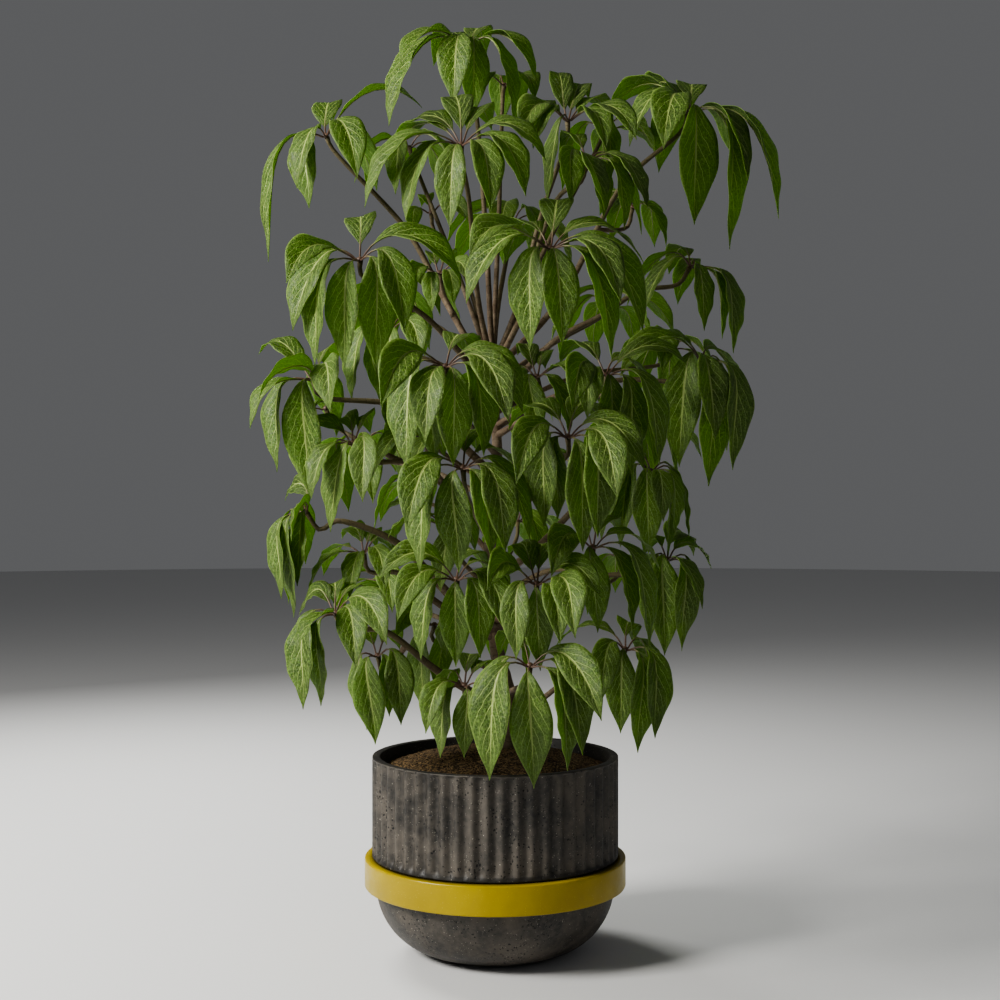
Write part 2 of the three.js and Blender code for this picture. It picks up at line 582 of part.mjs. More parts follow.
// A leaflet's curve from the hub's side to its tip: it rises, arches over and hangs.
function leafletCurve(hub, axis, turn, tip, size) {
  const root = hub.clone().addScaledVector(radial(axis, turn), HUB_RADIUS);
  const span = tip.clone().sub(hub);
  const chord = span.length();
  const out = new THREE.Vector3(span.x, span.y, 0).normalize();
  const share = span.z / chord;
  const hang = radians(clamp(HANG - HANG_SLOPE * share, ...HANG_RANGE));
  const handle = Math.max(chord, REACH * size);
  const first = radial(axis, turn);
  const lift = LIFT * (LIFT_LOW + (1 - LIFT_LOW) * (1 + first.z) / 2);
  first.addScaledVector(out, OUT_SHARE).addScaledVector(UP, lift).normalize();
  const last = out.clone().multiplyScalar(Math.cos(hang)).addScaledVector(UP, -Math.sin(hang));
  return new THREE.CubicBezierCurve3(
    root,
    root.clone().addScaledVector(first, handle * HANDLE),
    tip.clone().addScaledVector(last, -handle * HANDLE_END),
    tip.clone(),
  );
}

// Half the blade's width at a share of its length, as a share of the greatest.
function bladeShape(t) {
  return Math.pow(Math.sin(Math.PI * Math.pow(t, SHAPE_LEAN)), SHAPE_FULLNESS) * (1 - SHAPE_TAPER * t);
}

// The way a leaflet's face looks at a share of its length: between the head's way and up at
// the hub, and from there it turns only with the curve.
function faceAt(curve, axis, share) {
  const face = axis.clone().addScaledVector(UP, FACE_UP);
  const steps = Math.ceil(share * FACE_STEPS);
  for (let i = 0; i <= steps; i++) {
    const along = curve.getTangentAt((share * i) / Math.max(steps, 1));
    face.addScaledVector(along, -face.dot(along)).normalize();
  }
  return face;
}

// A leaflet's four-cornered cross-sections at shares of its length, then its tip. A stalk's are
// square; a blade's are left edge, midrib, right edge, underside, with the edges raised.
function sections(curve, axis, size, shares, extraWidth, extraDepth) {
  const widest = 0.5 * BLADE_WIDTH * Math.max(curve.getLength(), SMALLEST_BLADE * size);
  const points = [];
  for (const s of shares) {
    const centre = curve.getPointAt(s);
    const along = curve.getTangentAt(s);
    const normal = faceAt(curve, axis, s);
    const across = along.clone().cross(normal);
    const thin = STALKLET_HALF + extraDepth;
    let corners = [[-thin, thin], [thin, thin], [thin, -thin], [-thin, -thin]];
    if (s > BLADE_START) {
      const half = bladeShape((s - BLADE_START) / (1 - BLADE_START)) * widest + extraWidth;
      const raised = half * BLADE_FOLD;
      const [top, bottom] = [MIDRIB_RISE + extraDepth, -MIDRIB_DEPTH - extraDepth];
      corners = [[-half, raised], [0, top], [half, raised], [0, bottom]];
    }
    for (const [side, rise] of corners) {
      points.push(centre.clone().addScaledVector(across, side).addScaledVector(normal, rise));
    }
  }
  points.push(curve.getPoint(1));
  return points;
}

// Faces that join a four-cornered ring of points to the rings after it and the tip.
function leafletFaces(ring, first, rings) {
  const faces = [];
  let from = ring;
  for (let i = 0; i <= rings; i++) {
    const to = [0, 1, 2, 3].map((j) => first + i * 4 + j);
    for (let j = 0; j < 4; j++) {
      const k = (j + 1) % 4;
      if (i === rings) faces.push([from[j], from[k], first + rings * 4]);
      else if (j % 2 === 0) faces.push([from[j], from[k], to[k]], [from[j], to[k], to[j]]);
      else faces.push([from[j], from[k], to[j]], [from[k], to[k], to[j]]);
    }
    from = to;
  }
  return faces;
}

function bodyOf(points, faces) {
  const geometry = new THREE.BufferGeometry().setFromPoints(points);
  geometry.setIndex(faces.flat());
  return solid(geometry);
}

// A leaflet by itself, roomy by extra, from a share of its length to the tip.
function lone(curve, axis, size, from, extraWidth, extraDepth) {
  const shares = [from, BLADE_START, ...BLADE_STATIONS];
  const points = sections(curve, axis, size, shares, extraWidth, extraDepth);
  const faces = leafletFaces([0, 1, 2, 3], 4, shares.length - 1);
  return bodyOf(points, [[0, 2, 1], [0, 3, 2], ...faces]);
}

// A head: a low many-sided hub with a leaflet grown from each side, or a plain side where its
// leaflet found no room.
function headBody(hub, axis, roots, size) {
  const points = [];
  const faces = [];
  for (const root of roots) {
    const side = radial(axis, root.edge).multiplyScalar(HUB_RADIUS);
    for (const rise of [HUB_HEIGHT / 2, -HUB_HEIGHT / 2]) {
      points.push(hub.clone().add(side).addScaledVector(axis, rise));
    }
  }
  const count = roots.length;
  for (let i = 1; i < count - 1; i++) faces.push([0, 2 * i, 2 * i + 2], [1, 2 * i + 3, 2 * i + 1]);
  roots.forEach((root, i) => {
    const before = (i + count - 1) % count;
    const ring = [2 * i, 2 * before, 2 * before + 1, 2 * i + 1];
    if (!root.curve) {
      faces.push([ring[0], ring[1], ring[2]], [ring[0], ring[2], ring[3]]);
      return;
    }
    const shares = [BLADE_START, ...BLADE_STATIONS];
    const first = points.length;
    points.push(...sections(root.curve, axis, size, shares, 0, 0));
    faces.push(...leafletFaces(ring, first, shares.length));
  });
  return bodyOf(points, faces);
}

function boxesMeet(a, b) {
  for (let i = 0; i < 3; i++) if (a.max[i] < b.min[i] || b.max[i] < a.min[i]) return false;
  return true;
}

// True if a solid crosses none of the pieces already placed.
function isClear(body, placed) {
  const box = body.boundingBox();
  return placed.every((p) => !boxesMeet(box, p.box) || p.body.intersect(body).isEmpty());
}

const kept = (body) => ({ body, box: body.boundingBox() });

// The first bend of a leaflet that crosses no stem and no other leaflet, or none.
function clearCurve(hub, axis, root, size, others, siblings) {
  for (const shorter of BEND_SHORTER) {
    for (const away of BEND_AWAY) {
      for (const across of BEND_ACROSS) {
        const move = new THREE.Vector3(across, Math.sign(root.tip.y) * away, 0);
        const tip = root.tip.clone().multiplyScalar(shorter).add(move).add(hub);
        if (tip.distanceTo(hub) < LEAST_CHORD * size) continue;
        const curve = leafletCurve(hub, axis, root.turn, tip, size);
        const bare = lone(
          curve, axis, size, CLEAR_SIBLINGS_FROM, CLEAR_SIBLINGS_WIDTH, CLEAR_SIBLINGS_DEPTH,
        );
        if (!isClear(bare, siblings)) continue;
        const roomy = lone(curve, axis, size, CLEAR_OTHERS_FROM, CLEAR_WIDTH, CLEAR_DEPTH);
        if (isClear(roomy, others)) return curve;
      }
    }
  }
  return null;
}

function leafHeads(woodParts) {
  const order = HEADS.map((head, i) => ({ head, i })).sort((a, b) => a.head.hub[1] - b.head.hub[1]);
  const wood = woodParts.map(kept);
  const placed = new Map();
  HEADS.forEach((head, i) => {
    const axis = facing(head.face);
    const bare = rootsOf(axis, tipsOf(head, i));
    placed.set(head.name, [kept(headBody(vector(head.hub), axis, bare, head.size))]);
  });
  const made = new Map();
  for (const { head, i } of order) {
    const hub = vector(head.hub);
    const axis = facing(head.face);
    const others = [...wood];
    for (const [name, pieces] of placed) if (name !== head.name) others.push(...pieces);
    const siblings = [];
    const roots = rootsOf(axis, tipsOf(head, i));
    for (const root of roots) {
      root.curve = clearCurve(hub, axis, root, head.size, others, siblings);
      if (!root.curve) continue;
      siblings.push(kept(lone(root.curve, axis, head.size, CLEAR_SIBLINGS_FROM, 0, 0)));
      placed.get(head.name).push(kept(lone(root.curve, axis, head.size, 0, 0, 0)));
    }
    made.set(head.name, headBody(hub, axis, roots, head.size));
  }
  return made;
}

const plant = new THREE.Group();
plant.add(node("planter", planter(), COLOURS.concrete, 0.75));
plant.add(node("band", band(), COLOURS.band, 0.4));
plant.add(node("soil", soil(), COLOURS.soil, 1));
const woodParts = stems(stemCourses());
plant.add(node("stems", wasm.Manifold.union(woodParts), COLOURS.bark, 0.8));
for (const [name, body] of leafHeads(woodParts)) {
  plant.add(node("leaf_head_" + name, body, COLOURS.leaf, 0.5));
}

export default plant;
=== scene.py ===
"""Finish for a floor-standing umbrella plant in a round fluted planter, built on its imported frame."""

import json
import logging
import math
from dataclasses import dataclass
from enum import Enum
from typing import NamedTuple

import bmesh
import bpy
from mathutils import Color, Matrix, Vector, kdtree, noise

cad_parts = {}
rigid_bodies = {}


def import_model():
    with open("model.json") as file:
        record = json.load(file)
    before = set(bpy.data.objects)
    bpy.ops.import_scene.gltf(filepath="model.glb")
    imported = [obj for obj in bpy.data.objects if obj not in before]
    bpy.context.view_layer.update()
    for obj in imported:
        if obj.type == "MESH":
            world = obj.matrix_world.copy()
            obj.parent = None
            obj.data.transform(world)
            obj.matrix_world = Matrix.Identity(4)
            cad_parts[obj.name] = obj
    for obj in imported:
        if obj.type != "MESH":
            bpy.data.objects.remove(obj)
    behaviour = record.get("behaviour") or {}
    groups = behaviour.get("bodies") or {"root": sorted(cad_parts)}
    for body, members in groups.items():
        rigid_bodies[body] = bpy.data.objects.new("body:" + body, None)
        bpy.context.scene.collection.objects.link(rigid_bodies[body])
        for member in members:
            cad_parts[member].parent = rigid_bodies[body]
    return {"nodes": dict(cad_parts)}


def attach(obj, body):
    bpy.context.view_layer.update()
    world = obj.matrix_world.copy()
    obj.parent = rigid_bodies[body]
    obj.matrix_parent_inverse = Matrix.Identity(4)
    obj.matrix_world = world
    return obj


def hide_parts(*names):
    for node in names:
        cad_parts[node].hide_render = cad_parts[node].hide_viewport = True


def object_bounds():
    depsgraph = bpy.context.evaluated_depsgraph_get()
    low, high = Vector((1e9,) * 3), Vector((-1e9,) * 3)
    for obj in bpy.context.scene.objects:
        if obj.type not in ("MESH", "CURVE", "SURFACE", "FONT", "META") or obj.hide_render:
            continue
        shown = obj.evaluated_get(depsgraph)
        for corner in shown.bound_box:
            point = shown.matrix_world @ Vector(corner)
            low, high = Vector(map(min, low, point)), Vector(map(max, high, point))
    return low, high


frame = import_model()
CAD_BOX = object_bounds()
LOG = logging.getLogger("umbrella_plant")

MM = 0.001
UP = Vector((0, 0, 1))
TURN = 2 * math.pi
BODY = "root"
WORD = 0xFFFFFFFF

Point2 = tuple[float, float]
Point3 = tuple[float, float, float]
Colour = tuple[float, ...]
Mesh = bmesh.types.BMesh
Faces = list[bmesh.types.BMFace]
Layer = bmesh.types.BMLayerItem
Material = bpy.types.Material
Tree = bpy.types.NodeTree
Node = bpy.types.Node
Socket = bpy.types.NodeSocket
Value = Socket | float | Colour | None


class LeafSlot(Enum):
    """Material slots of a leaf head, in the order of its mesh."""

    UPPER = 0
    UNDER = 1
    STALK = 2


def draw(seed: int) -> float:
    """Gives the same number from 0 to 1 for a whole number each time.

    Args:
        seed: Any whole number.

    Returns:
        A number from 0 up to 1.
    """
    t = (seed + 0x6D2B79F5) & WORD
    t = ((t ^ (t >> 15)) * (t | 1)) & WORD
    t ^= (t + (((t ^ (t >> 7)) * (t | 61)) & WORD)) & WORD
    return ((t ^ (t >> 14)) & WORD) / (WORD + 1)


def clamp(value: float, low: float, high: float) -> float:
    """Holds a value between two limits."""
    return min(high, max(low, value))


def smooth_step(low: float, high: float, value: float) -> float:
    """Rises smoothly from 0 at low to 1 at high."""
    t = clamp((value - low) / (high - low), 0, 1)
    return t * t * (3 - 2 * t)


@dataclass
class Bezier:
    """A cubic curve through space, with its length measured.

    Attributes:
        points: The two ends and the two handles between them, in millimetres.
        samples: How many pieces its length is measured in.
    """

    points: tuple[Vector, Vector, Vector, Vector]
    samples: int = 60

    def __post_init__(self) -> None:
        """Measures the curve's length up to each sample."""
        self.lengths = [0.0]
        last = self.point(0)
        for i in range(1, self.samples + 1):
            here = self.point(i / self.samples)
            self.lengths.append(self.lengths[-1] + (here - last).length)
            last = here

    @property
    def length(self) -> float:
        """The curve's whole length."""
        return self.lengths[-1]

    def point(self, t: float) -> Vector:
        """The place at a parameter.

        Args:
            t: From 0 at the start to 1 at the end.

        Returns:
            The place there.
        """
        a, b, c, d = self.points
        u = 1 - t
        return a * u**3 + b * (3 * u * u * t) + c * (3 * u * t * t) + d * t**3

    def at(self, share: float) -> float:
        """The parameter at a share of the length.

        Args:
            share: From 0 at the start to 1 at the end.

        Returns:
            The parameter there.
        """
        goal = clamp(share, 0, 1) * self.length
        i = 1
        while i < self.samples and self.lengths[i] < goal:
            i += 1
        step = self.lengths[i] - self.lengths[i - 1]
        return (i - 1 + (goal - self.lengths[i - 1]) / max(step, 1e-9)) / self.samples

    def place(self, share: float) -> tuple[Vector, Vector]:
        """The place and direction at a share of the length.

        Args:
            share: From 0 at the start to 1 at the end.

        Returns:
            The place, and the curve's direction there.
        """
        t = self.at(share)
        a, b, c, d = self.points
        u = 1 - t
        along = (b - a) * (u * u) + (c - b) * (2 * u * t) + (d - c) * (t * t)
        return self.point(t), along.normalized()


@dataclass
class Spline:
    """A smooth curve that passes through every point of a list.

    Attributes:
        points: The points, in millimetres.
        samples: How many pieces each span is measured in.
    """

    points: list[Vector]
    samples: int = 40

    def point(self, t: float) -> Vector:
        """The place at a parameter.

        Args:
            t: From 0 at the first point to 1 at the last.

        Returns:
            The place there.
        """
        spans = len(self.points) - 1
        i = min(int(t * spans), spans - 1)
        w = t * spans - i
        a, b = self.points[i], self.points[i + 1]
        before = self.points[i - 1] if i else a * 2 - b
        after = self.points[i + 2] if i + 2 <= spans else b * 2 - a
        leave, arrive = (b - before) / 2, (after - a) / 2
        square, cube = w * w, w * w * w
        return (a * (2 * cube - 3 * square + 1) + leave * (cube - 2 * square + w)
                + b * (3 * square - 2 * cube) + arrive * (cube - square))

    def even(self, step: float) -> list[Vector]:
        """Places along the curve, evenly spaced.

        Args:
            step: About how far apart they are, in millimetres.

        Returns:
            The places, with both ends.
        """
        count = self.samples * (len(self.points) - 1)
        path = [self.point(i / count) for i in range(count + 1)]
        lengths = distances(path)
        parts = max(3, round(lengths[-1] / step))
        places, i = [path[0]], 1
        for k in range(1, parts):
            goal = lengths[-1] * k / parts
            while lengths[i] < goal:
                i += 1
            w = (goal - lengths[i - 1]) / max(lengths[i] - lengths[i - 1], 1e-9)
            places.append(path[i - 1].lerp(path[i], w))
        return places + [path[-1]]


def distances(path: list[Vector]) -> list[float]:
    """How far along a path each of its places lies.

    Args:
        path: The places in order.

    Returns:
        The distance of each from the first.
    """
    found = [0.0]
    for a, b in zip(path, path[1:]):
        found.append(found[-1] + (b - a).length)
    return found


@dataclass(frozen=True)
class Stalk:
    """A leaf head's stalk, in millimetres.

    Attributes:
        parent: The stem that it leaves.
        at: How far along that stem it leaves, from 0 to 1.
        by: Points that it passes on its way to the hub.
        radius: Its radius where it leaves.
    """

    parent: str
    at: float
    by: tuple[Point3, ...]
    radius: float


@dataclass(frozen=True)
class LeafHead:
    """One umbrella of leaflets on the end of a stalk, in millimetres.

    Attributes:
        name: The end of its node's name.
        hub: Where the leaflets meet.
        face: Its turn from the front towards +X, then up, in degrees.
        size: The length of its larger leaflets.
        stalk: The stalk that carries it.
        front: Tips of the leaflets that come forward, beside and above the hub.
        side: Tips of those that stay level with the hub.
        back: Tips of those that go back.
        ring: How many leaflets stand evenly round a hub without such lists.
    """

    name: str
    hub: Point3
    face: Point2
    size: float
    stalk: Stalk
    front: tuple[Point2, ...] = ()
    side: tuple[Point2, ...] = ()
    back: tuple[Point2, ...] = ()
    ring: int = 0

    @property
    def node(self) -> str:
        """The name of the solid that this head stands for."""
        return "leaf_head_" + self.name

    def axis(self) -> Vector:
        """The way the head faces.

        Returns:
            The direction, one long.
        """
        turn, rise = (math.radians(a) for a in self.face)
        flat = math.cos(rise)
        return Vector((math.sin(turn) * flat, -math.cos(turn) * flat, math.sin(rise)))


HEADS = (
    LeafHead("crown", (-45, -20, 1460), (-20, 80), 190,
             Stalk("trunk", 0.99, ((-14, 0, 1135), (-28, 0, 1331)), 5),
             front=((-125, -135), (-105, -60), (-20, -115), (75, -130)),
             side=((10, -120), (110, -60)),
             back=((-60, 25), (30, 45))),
    LeafHead("01", (-50, -230, 1255), (-5, 48), 190,
             Stalk("trunk", 0.98, ((-27, -60, 1046), (-39, -160, 1180)), 5),
             front=((-140, -100), (-80, -120), (-15, -135), (45, -115), (95, -90)),
             side=((125, -30),),
             back=((45, 70), (-10, 95), (-110, 40), (-115, -5))),
    LeafHead("02", (-275, -10, 1320), (-60, 55), 190,
             Stalk("trunk", 0.9, ((-82, 0, 1054), (-147, 0, 1171)), 6),
             front=((-90, -210), (-35, -105), (-20, -130), (60, -90)),
             back=((155, 75), (75, -70), (0, 75))),
    LeafHead("03", (-200, -230, 1085), (-18, 48), 190,
             Stalk("trunk", 0.88, ((-102, -110, 1008),), 5.5),
             front=((-95, -50), (-95, -110), (-75, -160), (-20, -165), (15, -165), (70, -115)),
             side=((150, -35),),
             back=((35, -80), (-10, 75))),
    LeafHead("04", (115, -70, 1330), (10, 65), 170,
             Stalk("trunk", 0.97, ((27, 10, 1006), (72, -20, 1180)), 5),
             front=((90, -50), (-75, -50), (-45, -65), (-20, -130), (55, -70)),
             back=((-20, 100), (-85, 30), (75, 45), (40, 80))),
    LeafHead("05", (140, -170, 1245), (25, 55), 150,
             Stalk("trunk", 0.96, ((40, -40, 1049), (93, -110, 1190)), 5),
             front=((-30, -80), (10, -90), (35, -95), (55, -110), (90, -80)),
             back=((85, -110), (-35, 45))),
    LeafHead("06", (315, 0, 1360), (50, 60), 220,
             Stalk("trunk", 0.95, ((106, 20, 1057), (205, 20, 1240)), 6),
             front=((-55, -90), (5, -190), (62, -230), (85, -125), (142, -180)),
             side=((-100, -65),),
             back=((20, 60), (-35, -70), (105, -95), (-75, 65), (-125, 45))),
    LeafHead("07", (80, -300, 1090), (3, 50), 200,
             Stalk("trunk", 0.94, ((40, -110, 1010),), 5.5),
             front=((-115, -30), (-120, -85), (-30, -150), (15, -145), (85, -160), (95, -90), (130, -125)),
             back=((-65, -5), (-10, -80), (45, -115), (140, -15), (-40, 95), (20, 85))),
    LeafHead("08", (315, -30, 1105), (60, 50), 160,
             Stalk("trunk", 0.84, ((89, -10, 980), (169, -20, 1025), (233, -25, 1065)), 6),
             front=((-80, -85), (15, -110), (35, -120), (50, -145)),
             back=((-65, 10), (-10, -50), (-100, -60), (-25, 20))),
    LeafHead("09", (-70, -310, 920), (-5, 50), 190,
             Stalk("trunk", 0.74, ((-40, -140, 845),), 5),
             front=((-85, -65), (-55, -150), (-25, -115), (0, -145), (55, -130), (90, -85)),
             side=((110, -70), (-15, -145)),
             back=((-20, 45), (40, 30), (30, -90))),
    LeafHead("10", (-280, -150, 915), (-45, 50), 175,
             Stalk("trunk", 0.7, ((-80, -60, 839), (-154, -100, 877)), 7),
             front=((-65, -40), (-85, -80), (-50, -145), (-15, -175), (40, -60)),
             back=((-95, 65), (25, -85), (-10, 50), (25, 35))),
    LeafHead("11", (-215, -190, 815), (-30, 55), 150,
             Stalk("trunk", 0.6, ((-64, -60, 736), (-132, -120, 785)), 6),
             front=((-55, -85), (-30, -135), (10, -90)),
             back=((-10, -105), (-20, 30), (20, 35), (-85, 5))),
    LeafHead("12", (165, -220, 915), (15, 55), 170,
             Stalk("trunk", 0.78, ((100, -120, 883),), 5),
             front=((-55, -60), (-20, -70), (65, -135), (35, -150)),
             side=((10, -120),),
             back=((-65, 45), (85, -35), (125, 35))),
    LeafHead("13", (105, -300, 820), (5, 52), 180,
             Stalk("trunk", 0.6, ((53, -150, 755),), 7),
             front=((-75, -70), (-35, -130), (20, -165), (40, -145), (65, -90)),
             side=((95, -50), (-15, -120)),
             back=((-85, 35), (55, 40))),
    LeafHead("14", (-45, -320, 775), (-6, 50), 185,
             Stalk("trunk", 0.58, ((-35, -150, 715),), 5),
             front=((-75, -90), (-60, -150), (-5, -150), (40, -125), (60, -120), (95, -105)),
             back=((100, -45), (-20, 50), (20, 45))),
    LeafHead("15", (-295, -110, 710), (-60, 50), 150,
             Stalk("trunk", 0.33, ((-65, -30, 567), (-151, -70, 657), (-240, -95, 695)), 9),
             front=((-35, -135), (-30, -165), (-10, -115)),
             side=((-15, -45),),
             back=((-30, -145), (-10, -85), (-45, 35))),
    LeafHead("16", (145, -240, 660), (15, 58), 165,
             Stalk("trunk", 0.42, ((75, -110, 615),), 5),
             front=((-65, -40), (5, -125), (55, -125), (80, -150)),
             back=((-30, -75), (105, -40), (0, 45), (45, 35))),
    LeafHead("17", (-55, -290, 615), (-8, 55), 165,
             Stalk("trunk", 0.34, ((-35, -140, 555),), 5),
             front=((-80, -55), (-50, -115), (0, -125), (35, -110), (75, -80)),
             side=((-110, 0),),
             back=((80, -45), (45, 20))),
    LeafHead("18", (60, -310, 610), (4, 55), 160,
             Stalk("trunk", 0.36, ((40, -150, 550),), 5),
             front=((-70, -5), (-30, -105), (5, -125), (30, -80), (50, -70)),
             side=((90, -20),),
             back=((-30, 55), (15, 50))),
    LeafHead("19", (330, -50, 950), (55, 55), 200,
             Stalk("trunk", 0.8, ((105, -20, 898), (201, -30, 921)), 6),
             front=((-135, -30), (-40, -170), (-5, -200), (30, -175), (50, -145), (10, -130)),
             back=((-130, 35), (-75, -105), (15, -200), (80, -50))),
    LeafHead("20", (-240, -200, 560), (-35, 50), 160,
             Stalk("trunk", 0.1, ((-88, -70, 455), (-167, -140, 525)), 8),
             front=((-45, -55), (-45, -125), (-30, -140), (-20, -140), (40, -75), (85, -40)),
             back=((-55, -10), (60, 15), (0, 25))),
    LeafHead("21", (-45, -230, 455), (-6, 55), 130,
             Stalk("trunk", 0.1, ((-20, -100, 415),), 5),
             front=((-55, -65), (-35, -105), (0, -105), (25, -75)),
             back=((-35, -40), (15, 35), (45, 10))),
    LeafHead("22", (50, -330, 495), (4, 52), 180,
             Stalk("trunk", 0.16, ((35, -150, 440),), 5.5),
             front=((-65, -130), (-45, -155), (5, -170), (40, -145), (60, -120)),
             side=((85, -70),),
             back=((-25, -75), (-45, 15))),
    LeafHead("23", (205, -90, 495), (35, 58), 160,
             Stalk("trunk", 0.08, ((80, -30, 411), (143, -60, 462)), 5),
             front=((-45, -75), (-10, -130), (5, -160), (30, -135)),
             back=((-110, -5), (20, 15), (50, -75))),
    LeafHead("24", (275, -60, 635), (45, 58), 150,
             Stalk("trunk", 0.38, ((128, -30, 583), (184, -45, 608)), 6),
             front=((-30, -125), (-10, -150), (5, -140), (35, -130), (45, -75)),
             back=((25, -150), (80, -20), (-30, 20), (45, 5))),
    LeafHead("25", (245, -90, 775), (30, 60), 140,
             Stalk("trunk", 0.48, ((72, -30, 656), (167, -55, 750)), 7),
             front=((0, -80), (35, -100), (-50, -120), (-20, -130), (-80, -110)),
             back=((65, -110), (30, -135), (-50, -20))),
    LeafHead("26", (-185, -90, 485), (-30, 60), 140,
             Stalk("20", 0.4, (), 4),
             front=((0, -135), (-15, -115), (40, -105)),
             side=((20, -95),),
             back=((-35, 15), (30, 10))),
    LeafHead("27", (-210, -60, 645), (-30, 60), 130,
             Stalk("trunk", 0.3, ((-89, -25, 559), (-152, -45, 610)), 7),
             front=((-85, -65), (-15, -70), (30, -55)),
             back=((-70, -40), (-30, 35), (-55, 60), (45, -5), (15, 20))),
    LeafHead("28", (-80, -90, 690), (-20, 60), 130,
             Stalk("trunk", 0.46, (), 4),
             front=((-90, 20), (-85, -20), (-5, -105)),
             back=((-75, -35), (-55, -55), (60, -45), (15, 40))),
    LeafHead("29", (-100, 10, 525), (-10, 60), 130,
             Stalk("trunk", 0.2, (), 4),
             front=((-70, -15), (-45, -25), (35, -50)),
             side=((-20, -145), (5, -110))),
    LeafHead("30", (65, -130, 920), (-5, 60), 140,
             Stalk("trunk", 0.8, (), 4),
             front=((80, -30), (95, -65), (60, -95), (0, -100)),
             back=((-30, 55), (15, 35), (-45, -50))),
    LeafHead("31", (-170, -20, 1005), (-15, 55), 150,
             Stalk("trunk", 0.83, ((-82, 0, 945),), 4.5),
             front=((-15, -120), (5, -110), (55, -60), (-60, -120)),
             back=((60, -25), (-10, 55), (-50, 35))),
    LeafHead("32", (-90, -28, 1095), (-15, 55), 110,
             Stalk("02", 0.2, (), 4),
             front=((-40, -35), (-10, -70), (25, -60), (50, -25)),
             back=((-30, 35), (25, 40))),
    LeafHead("33", (-110, 120, 1220), (-20, 60), 110,
             Stalk("trunk", 0.97, ((-50, 70, 1100),), 4),
             front=((45, 0), (65, -25), (-30, -50), (20, -55)),
             back=((-20, 35),)),
    LeafHead("34", (15, 90, 1430), (10, 60), 150,
             Stalk("trunk", 0.99, ((5, 60, 1180),), 4.5),
             front=((-50, -55), (50, -50)),
             back=((-5, -50), (30, -25))),
    LeafHead("35", (230, 70, 1220), (30, 60), 140,
             Stalk("06", 0.4, (), 4),
             front=((50, -75),),
             back=((45, -55), (-30, -45), (-50, 5))),
    LeafHead("36", (-270, -60, 875), (-50, 55), 130,
             Stalk("11", 0.55, (), 4),
             front=((-25, -45), (-20, -145)),
             back=((25, -35), (25, 25))),
    LeafHead("37", (-145, -90, 880), (-10, 60), 100,
             Stalk("trunk", 0.68, (), 4),
             front=((-20, -70), (-15, -90), (15, -75)),
             back=((30, -55), (-30, -15))),
    LeafHead("38", (-105, -142, 820), (-10, 60), 110,
             Stalk("11", 0.3, (), 4),
             front=((-75, -45), (-15, -45)),
             back=((10, -55), (25, -25))),
    LeafHead("39", (30, 260, 1230), (175, 50), 180,
             Stalk("trunk", 0.98, ((5, 90, 1060),), 5),
             ring=7),
    LeafHead("40", (-180, 230, 1100), (220, 50), 175,
             Stalk("trunk", 0.92, ((-80, 110, 1010),), 5),
             ring=7),
    LeafHead("41", (200, 240, 1080), (140, 50), 175,
             Stalk("trunk", 0.9, ((90, 120, 990),), 5),
             ring=7),
    LeafHead("42", (0, 310, 930), (180, 50), 180,
             Stalk("trunk", 0.75, ((0, 150, 865),), 5),
             ring=7),
    LeafHead("43", (250, 200, 860), (125, 52), 170,
             Stalk("trunk", 0.68, ((125, 100, 805),), 5),
             ring=7),
    LeafHead("44", (-230, 190, 830), (235, 52), 170,
             Stalk("trunk", 0.66, ((-115, 90, 780),), 5),
             ring=7),
    LeafHead("45", (40, 300, 690), (175, 52), 170,
             Stalk("trunk", 0.45, ((20, 150, 625),), 5),
             ring=7),
    LeafHead("46", (-200, 170, 590), (225, 55), 150,
             Stalk("trunk", 0.3, ((-95, 80, 530),), 5),
             ring=6),
    LeafHead("47", (220, 170, 620), (130, 55), 150,
             Stalk("trunk", 0.33, ((110, 85, 555),), 5),
             ring=6),
    LeafHead("48", (0, 230, 500), (180, 55), 150,
             Stalk("trunk", 0.15, ((10, 110, 440),), 5),
             ring=6),
    LeafHead("49", (185, 130, 1365), (150, 60), 165,
             Stalk("trunk", 0.97, ((70, 50, 1120),), 4.5),
             ring=6),
    LeafHead("50", (-150, 160, 1340), (215, 60), 160,
             Stalk("trunk", 0.96, ((-60, 60, 1100),), 4.5),
             ring=6),
    LeafHead("51", (150, 300, 790), (155, 55), 165,
             Stalk("trunk", 0.6, ((70, 150, 735),), 4.5),
             ring=6),
    LeafHead("52", (-140, 290, 760), (205, 55), 165,
             Stalk("trunk", 0.56, ((-70, 140, 700),), 4.5),
             ring=6),
    LeafHead("53", (300, 130, 990), (110, 55), 160,
             Stalk("trunk", 0.83, ((140, 60, 935),), 4.5),
             ring=6),
)

TRUNK_COURSE = (
    (17, 0, 325), (26, 0, 391), (4, 0, 475), (-2, 0, 540), (-12, 0, 600),
    (-5, 0, 695), (3, 0, 809), (-4, 0, 900), (-5, 0, 955),
)


